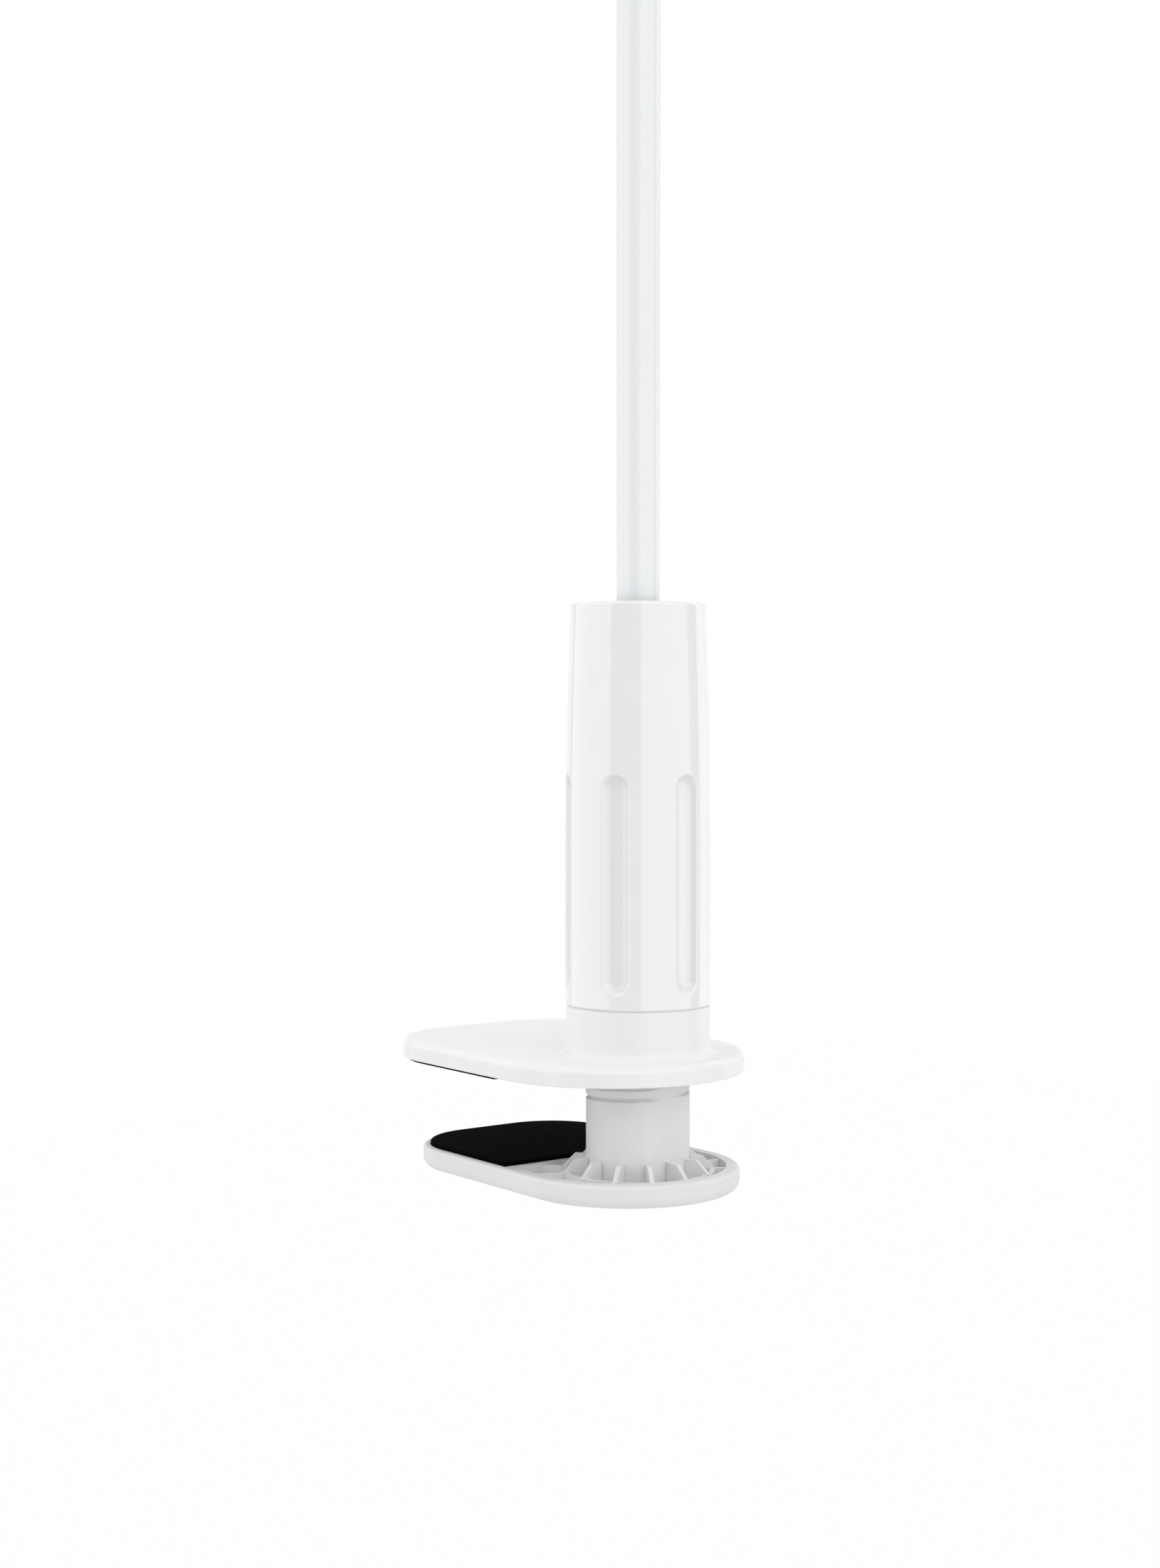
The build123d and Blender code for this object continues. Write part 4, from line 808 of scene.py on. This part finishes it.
class LAMP_OT_screw(bpy.types.Operator):
    """Clamp screw: keyed stem with a thread that runs out below the plate"""

    bl_idname = "lamp.screw"
    bl_label = "Clamp screw"

    def execute(self, context):
        sizes = context.scene.lamp_sizes
        end = sizes.thread_end / MM
        heights = np.arange(
            end - sizes.thread_pitch / MM, STEM_TOP - STEM_EDGE - 0.3, THREAD_ROW)
        outline = section([
            (0.0, STEM_CROWN, 0.0),
            (STEM_BORE, STEM_CROWN, 0.0),
            (STEM_BORE, STEM_FOOT, 0.2),
            (STEM_R, STEM_FOOT, 0.3, (heights - STEM_FOOT) / (STEM_TOP - STEM_FOOT)),
            (STEM_R, STEM_TOP, STEM_ROUND),
            (0.0, STEM_TOP, 0.0)], steps=4)[1:-1]
        radius, height = outline[:, :1], outline[:, 1:]
        # Few columns lie on the two flats and most on the two rounds between them
        key = math.acos(STEM_FLAT / STEM_R)
        turns = (-key, key, np.pi - key, np.pi + key, 2 * np.pi - key)
        angle = np.concatenate([
            np.linspace(first, last, count, endpoint=False)
            for first, last, count in zip(turns, turns[1:], STEM_COLUMNS)])
        # The wall is the lesser of the threaded round and the flats, moved in with the section's own edges
        wall = np.minimum(STEM_R - self.thread(angle, height, sizes), keyed(angle, STEM_R, STEM_FLAT))
        outer = radius > STEM_R - STEM_EDGE
        points = on_axis(np.where(outer, wall + radius - STEM_R, radius), angle, height)
        surface("threaded_stem", points, "clamp_screw", "jaw", False)
        return {"FINISHED"}

    def thread(self, angle, height, sizes):
        """Depth of a helical groove, which fades out at its end.

        The height in pitches less the angle in turns is whole on the groove's midline.
        Its distance from the nearest whole number sets the depth: full to half the
        groove's half width, and then falling straight to nothing.
        """
        pitch = sizes.thread_pitch / MM
        turns = (height - sizes.thread_start / MM) / pitch - angle / (2 * np.pi)
        beside = np.abs(turns - np.round(turns)) * pitch
        groove = sizes.thread_depth / MM * np.clip(2 - 2 * beside / (sizes.thread_width / MM), 0, 1)
        alive = np.clip((height - sizes.thread_end / MM) / THREAD_RUN_OUT, 0, 1)
        return groove * alive * (height < STEM_TOP - STEM_EDGE)


class LAMP_OT_pads(bpy.types.Operator):
    """Rubber pads of the two jaws, with soft edges"""

    bl_idname = "lamp.pads"
    bl_label = "Jaw pads"

    def execute(self, context):
        edge = context.scene.lamp_sizes.pad_edge / MM
        for node, body, corner in (
                ("upper_pad", "clamp", UPPER_PAD_CORNER), ("lower_pad", "jaw", LOWER_PAD_CORNER)):
            points = self.slab(*box_of(node), corner, edge)
            surface(f"{node}_rubber", points, node, body, False)
        return {"FINISHED"}

    def slab(self, low, high, corner, edge):
        """Rows of one plan outline, drawn in by the edge's quarter arcs and folded to a midline.

        The plan has square front corners, barely eased, and wide corners at the back.
        """
        ease = 2.0 * edge
        turn = np.radians(np.linspace(0, 90, 6))
        drawn = np.concatenate([edge * (1 - np.sin(turn)), edge * (1 - np.sin(turn))[::-1]])
        lift = np.concatenate([
            low[2] + edge * (1 - np.cos(turn)), high[2] - edge * (1 - np.cos(turn))[::-1]])

        def outline(inset, height):
            """The plan, drawn in by inset, at a height."""
            plan = section([
                (high[0] - inset, low[1] + inset, ease - inset),
                (high[0] - inset, high[1] - inset, ease - inset),
                (low[0] + inset, high[1] - inset, corner - inset),
                (low[0] + inset, low[1] + inset, corner - inset)], steps=16)
            return np.column_stack([plan, np.full(len(plan), height)])

        def midline(height):
            """The plan folded flat on its middle, with each point moved straight across."""
            plan = outline(edge, height)
            plan[:, 0] = np.clip(plan[:, 0], low[0] + corner, high[0] - corner)
            plan[:, 1] = 0.0
            return plan

        rows = [midline(low[2]), outline(edge + HOLD, low[2])]
        rows += [outline(inset, height) for inset, height in zip(drawn, lift)]
        rows += [outline(edge + HOLD, high[2]), midline(high[2])]
        return np.stack(rows)


class LAMP_OT_fasteners(bpy.types.Operator):
    """Small screws under the lower jaw and on the light bar's lugs"""

    bl_idname = "lamp.fasteners"
    bl_label = "Small screws"

    def execute(self, context):
        around = np.radians(np.arange(0, 360, 90))
        low, high = box_of("foot_screws")
        jaw_tip = STEM_FOOT + HUB_FLOOR
        stem_ring = on_axis(STEM_SCREWS_R, around + np.radians(45), low[2])
        jaw_ring = on_axis(JAW_SCREWS_R, around, low[2])
        foot = [
            self.screw(spot, -1, tip - low[2])
            for ring, tip in ((stem_ring, high[2]), (jaw_ring, jaw_tip)) for spot in ring]
        surface("foot_screws_turned", np.stack(foot), "foot_screws", "jaw", False)
        low, high = box_of("lug_screws")
        lugs = [
            self.screw((x, y, high[2]), 1, high[2] - low[2])
            for x in (low[0] + SCREW_HEAD_R, high[0] - SCREW_HEAD_R)
            for y in (low[1] + SCREW_HEAD_R, high[1] - SCREW_HEAD_R)]
        surface("lug_screws_turned", np.stack(lugs), "lug_screws", "head", False)
        return {"FINISHED"}

    def screw(self, spot, way, length):
        """Revolved profile from the head's middle to the tip, with a cross sunk in the head.

        The cross is as deep as the larger of its two arms, and each arm is a box
        of x and y with edges that fall as the clipped distance past them.
        """
        face = np.linspace(0, SCREW_HEAD_R - SCREW_ROUND, 20)
        shoulder = 0.3 * SCREW_ROUND
        profile = np.array([
            *[(radius, 0.0) for radius in face],
            (SCREW_HEAD_R - shoulder, -shoulder), (SCREW_HEAD_R, -SCREW_ROUND),
            (SCREW_HEAD_R, -SCREW_HEAD_H + SCREW_HOLD), (SCREW_HEAD_R, -SCREW_HEAD_H),
            (SCREW_R + SCREW_HOLD, -SCREW_HEAD_H), (SCREW_R, -SCREW_HEAD_H),
            (SCREW_R, -SCREW_HEAD_H - SCREW_HOLD), (SCREW_R, SCREW_POINT - length),
            (SCREW_R - SCREW_POINT, -length), (SCREW_R - SCREW_POINT - SCREW_HOLD, -length),
            (0.0, -length)])
        angle = np.linspace(0, 2 * np.pi, SCREW_COLUMNS, endpoint=False)
        radius, height = profile[:, :1], profile[:, 1:]
        x, y = np.abs(radius * np.cos(angle)), np.abs(radius * np.sin(angle))

        def arm(along, across):
            """1 in the arm and 0 outside it, with a straight fall over its edge."""
            inside = np.minimum(CROSS_REACH - along, CROSS_HALF_W - across)
            return np.clip(inside / CROSS_EDGE + 0.5, 0, 1)

        sunk = CROSS_DEPTH * np.maximum(arm(x, y), arm(y, x)) * (height == 0)
        return np.stack([
            spot[0] + radius * np.cos(angle), spot[1] + radius * np.sin(angle),
            spot[2] + way * (height - sunk)], -1)


class LAMP_OT_stage(bpy.types.Operator):
    """Pale floor, soft studio light and the camera of the photograph"""

    bl_idname = "lamp.stage"
    bl_label = "Stage"

    def execute(self, context):
        scene = context.scene
        scene.view_settings.view_transform = "Standard"
        self.floor(scene)
        self.studio(scene)
        self.camera(scene)
        return {"FINISHED"}

    def floor(self, scene):
        """Flat square grid well below the clamp, white where it is seen and grey to the lamp."""
        side = np.linspace(-FLOOR_HALF, FLOOR_HALF, FLOOR_CELLS + 1)
        x, y = np.meshgrid(side, side, indexing="ij")
        points = np.stack([x, y, np.full_like(x, FLOOR_LEVEL)], -1).reshape(-1, 3)
        row, column = np.meshgrid(np.arange(FLOOR_CELLS), np.arange(FLOOR_CELLS), indexing="ij")
        first = (row * len(side) + column).ravel()
        quads = np.stack([first, first + len(side), first + len(side) + 1, first + 1], -1)
        mesh = bpy.data.meshes.new("floor")
        mesh.from_pydata(points.tolist(), [], quads.tolist())
        floor = bpy.data.objects.new("floor", mesh)
        scene.collection.objects.link(floor)
        finish = Finish("floor_paper", Base_Color=(0.80, 0.80, 0.80), Roughness=0.9)
        paper = Value(finish, finish.surface.outputs[0])
        glow = finish.node("ShaderNodeEmission", None, {"Color": (1.0, 1.0, 1.0), "Strength": 1.0})
        shown = finish.rays("Camera", "Glossy", "Transmission") * FLOOR_GLOW
        blend = finish.node("ShaderNodeMixShader", None, (shown, paper, glow))
        finish.put(finish.tree.nodes["Material Output"].inputs["Surface"], blend)
        wear(floor, finish.material)

    def studio(self, scene):
        """World light by direction: tall soft boxes round the lamp, a sky, and a key above the camera.

        Each light is a product of smooth steps of the bearing and of the height angle's
        sine, and they add up. The world is plain white where the camera sees it.
        """
        world = bpy.data.worlds.new("studio")
        scene.world = world
        world.use_nodes = True
        tree = Tree(world.node_tree)
        way = tree.node("ShaderNodeTexCoord", out="Generated")
        turned = tree.node(
            "ShaderNodeVectorRotate", {"rotation_type": "Z_AXIS"},
            {"Vector": way, "Angle": math.atan2(CAMERA_AHEAD[1], -CAMERA_AHEAD[0])})
        near, right, up = tree.parts(turned)
        bearing = right.math("ARCTAN2", near) * (180 / math.pi)

        def box(low, high):
            """1 between two bearings and 0 outside them, with soft edges."""
            rise = bearing.step(low - BOX_SOFT, low + BOX_SOFT)
            return rise * (1 - bearing.step(high - BOX_SOFT, high + BOX_SOFT))

        back = (1 - box(*BACK_EDGES)) * (BACK_LIGHT - BACK_DIM * up.step(*BACK_DIM_RISE))
        sides = sum((light * box(low, high) for low, high, light in BOXES), back)
        band = 1 - up.math("ABSOLUTE").step(*SIDES_FALL)
        key = box(*KEY_EDGES) * up.step(*KEY_RISE) * (1 - up.step(*KEY_FALL))
        light = FILL_LIGHT + SKY_LIGHT * up.step(*SKY_RISE) + KEY_LIGHT * key + band * sides
        seen = tree.rays("Camera", "Transmission")
        background = tree.tree.nodes["Background"]
        tree.put(background.inputs["Color"], (1.0, 1.0, 1.0))
        tree.put(background.inputs["Strength"], seen + (1 - seen) * light)

    def camera(self, scene):
        """Camera fitted to the pole, grip and jaws of the photograph."""
        lens = bpy.data.cameras.new("camera")
        lens.lens = CAMERA_LENS
        lens.sensor_width = CAMERA_SENSOR
        lens.clip_start = CAMERA_NEAR
        camera = bpy.data.objects.new("camera", lens)
        scene.collection.objects.link(camera)
        camera.location = CAMERA_PLACE
        look = Vector((*CAMERA_AHEAD, -math.tan(CAMERA_FALL)))
        camera.rotation_euler = look.to_track_quat("-Z", "Y").to_euler()
        scene.camera = camera


class LAMP_PT_panel(bpy.types.Panel):
    """Lists the lamp's pieces in the sidebar"""

    bl_label = "Desk lamp"
    bl_idname = "LAMP_PT_panel"
    bl_space_type = "VIEW_3D"
    bl_region_type = "UI"
    bl_category = "Lamp"

    def draw(self, context):
        for step in STEPS:
            self.layout.operator(step.bl_idname)
        for group in (context.scene.lamp_sizes, context.scene.lamp_colours):
            for name in group.__annotations__:
                self.layout.prop(group, name)


STEPS = (
    LAMP_OT_finishes,
    LAMP_OT_grip,
    LAMP_OT_plate,
    LAMP_OT_screw,
    LAMP_OT_pads,
    LAMP_OT_fasteners,
    LAMP_OT_stage,
)
CLASSES = (LampSizes, LampColours, *STEPS, LAMP_PT_panel)


def register():
    for cls in CLASSES:
        bpy.utils.register_class(cls)
    bpy.types.Scene.lamp_sizes = bpy.props.PointerProperty(type=LampSizes)
    bpy.types.Scene.lamp_colours = bpy.props.PointerProperty(type=LampColours)


def unregister():
    del bpy.types.Scene.lamp_colours
    del bpy.types.Scene.lamp_sizes
    for cls in reversed(CLASSES):
        bpy.utils.unregister_class(cls)


def main():
    register()
    bpy.ops.lamp.finishes()
    bpy.ops.lamp.grip()
    bpy.ops.lamp.plate()
    bpy.ops.lamp.screw()
    bpy.ops.lamp.pads()
    bpy.ops.lamp.fasteners()
    bpy.ops.lamp.stage()


if __name__ == "__main__":
    main()
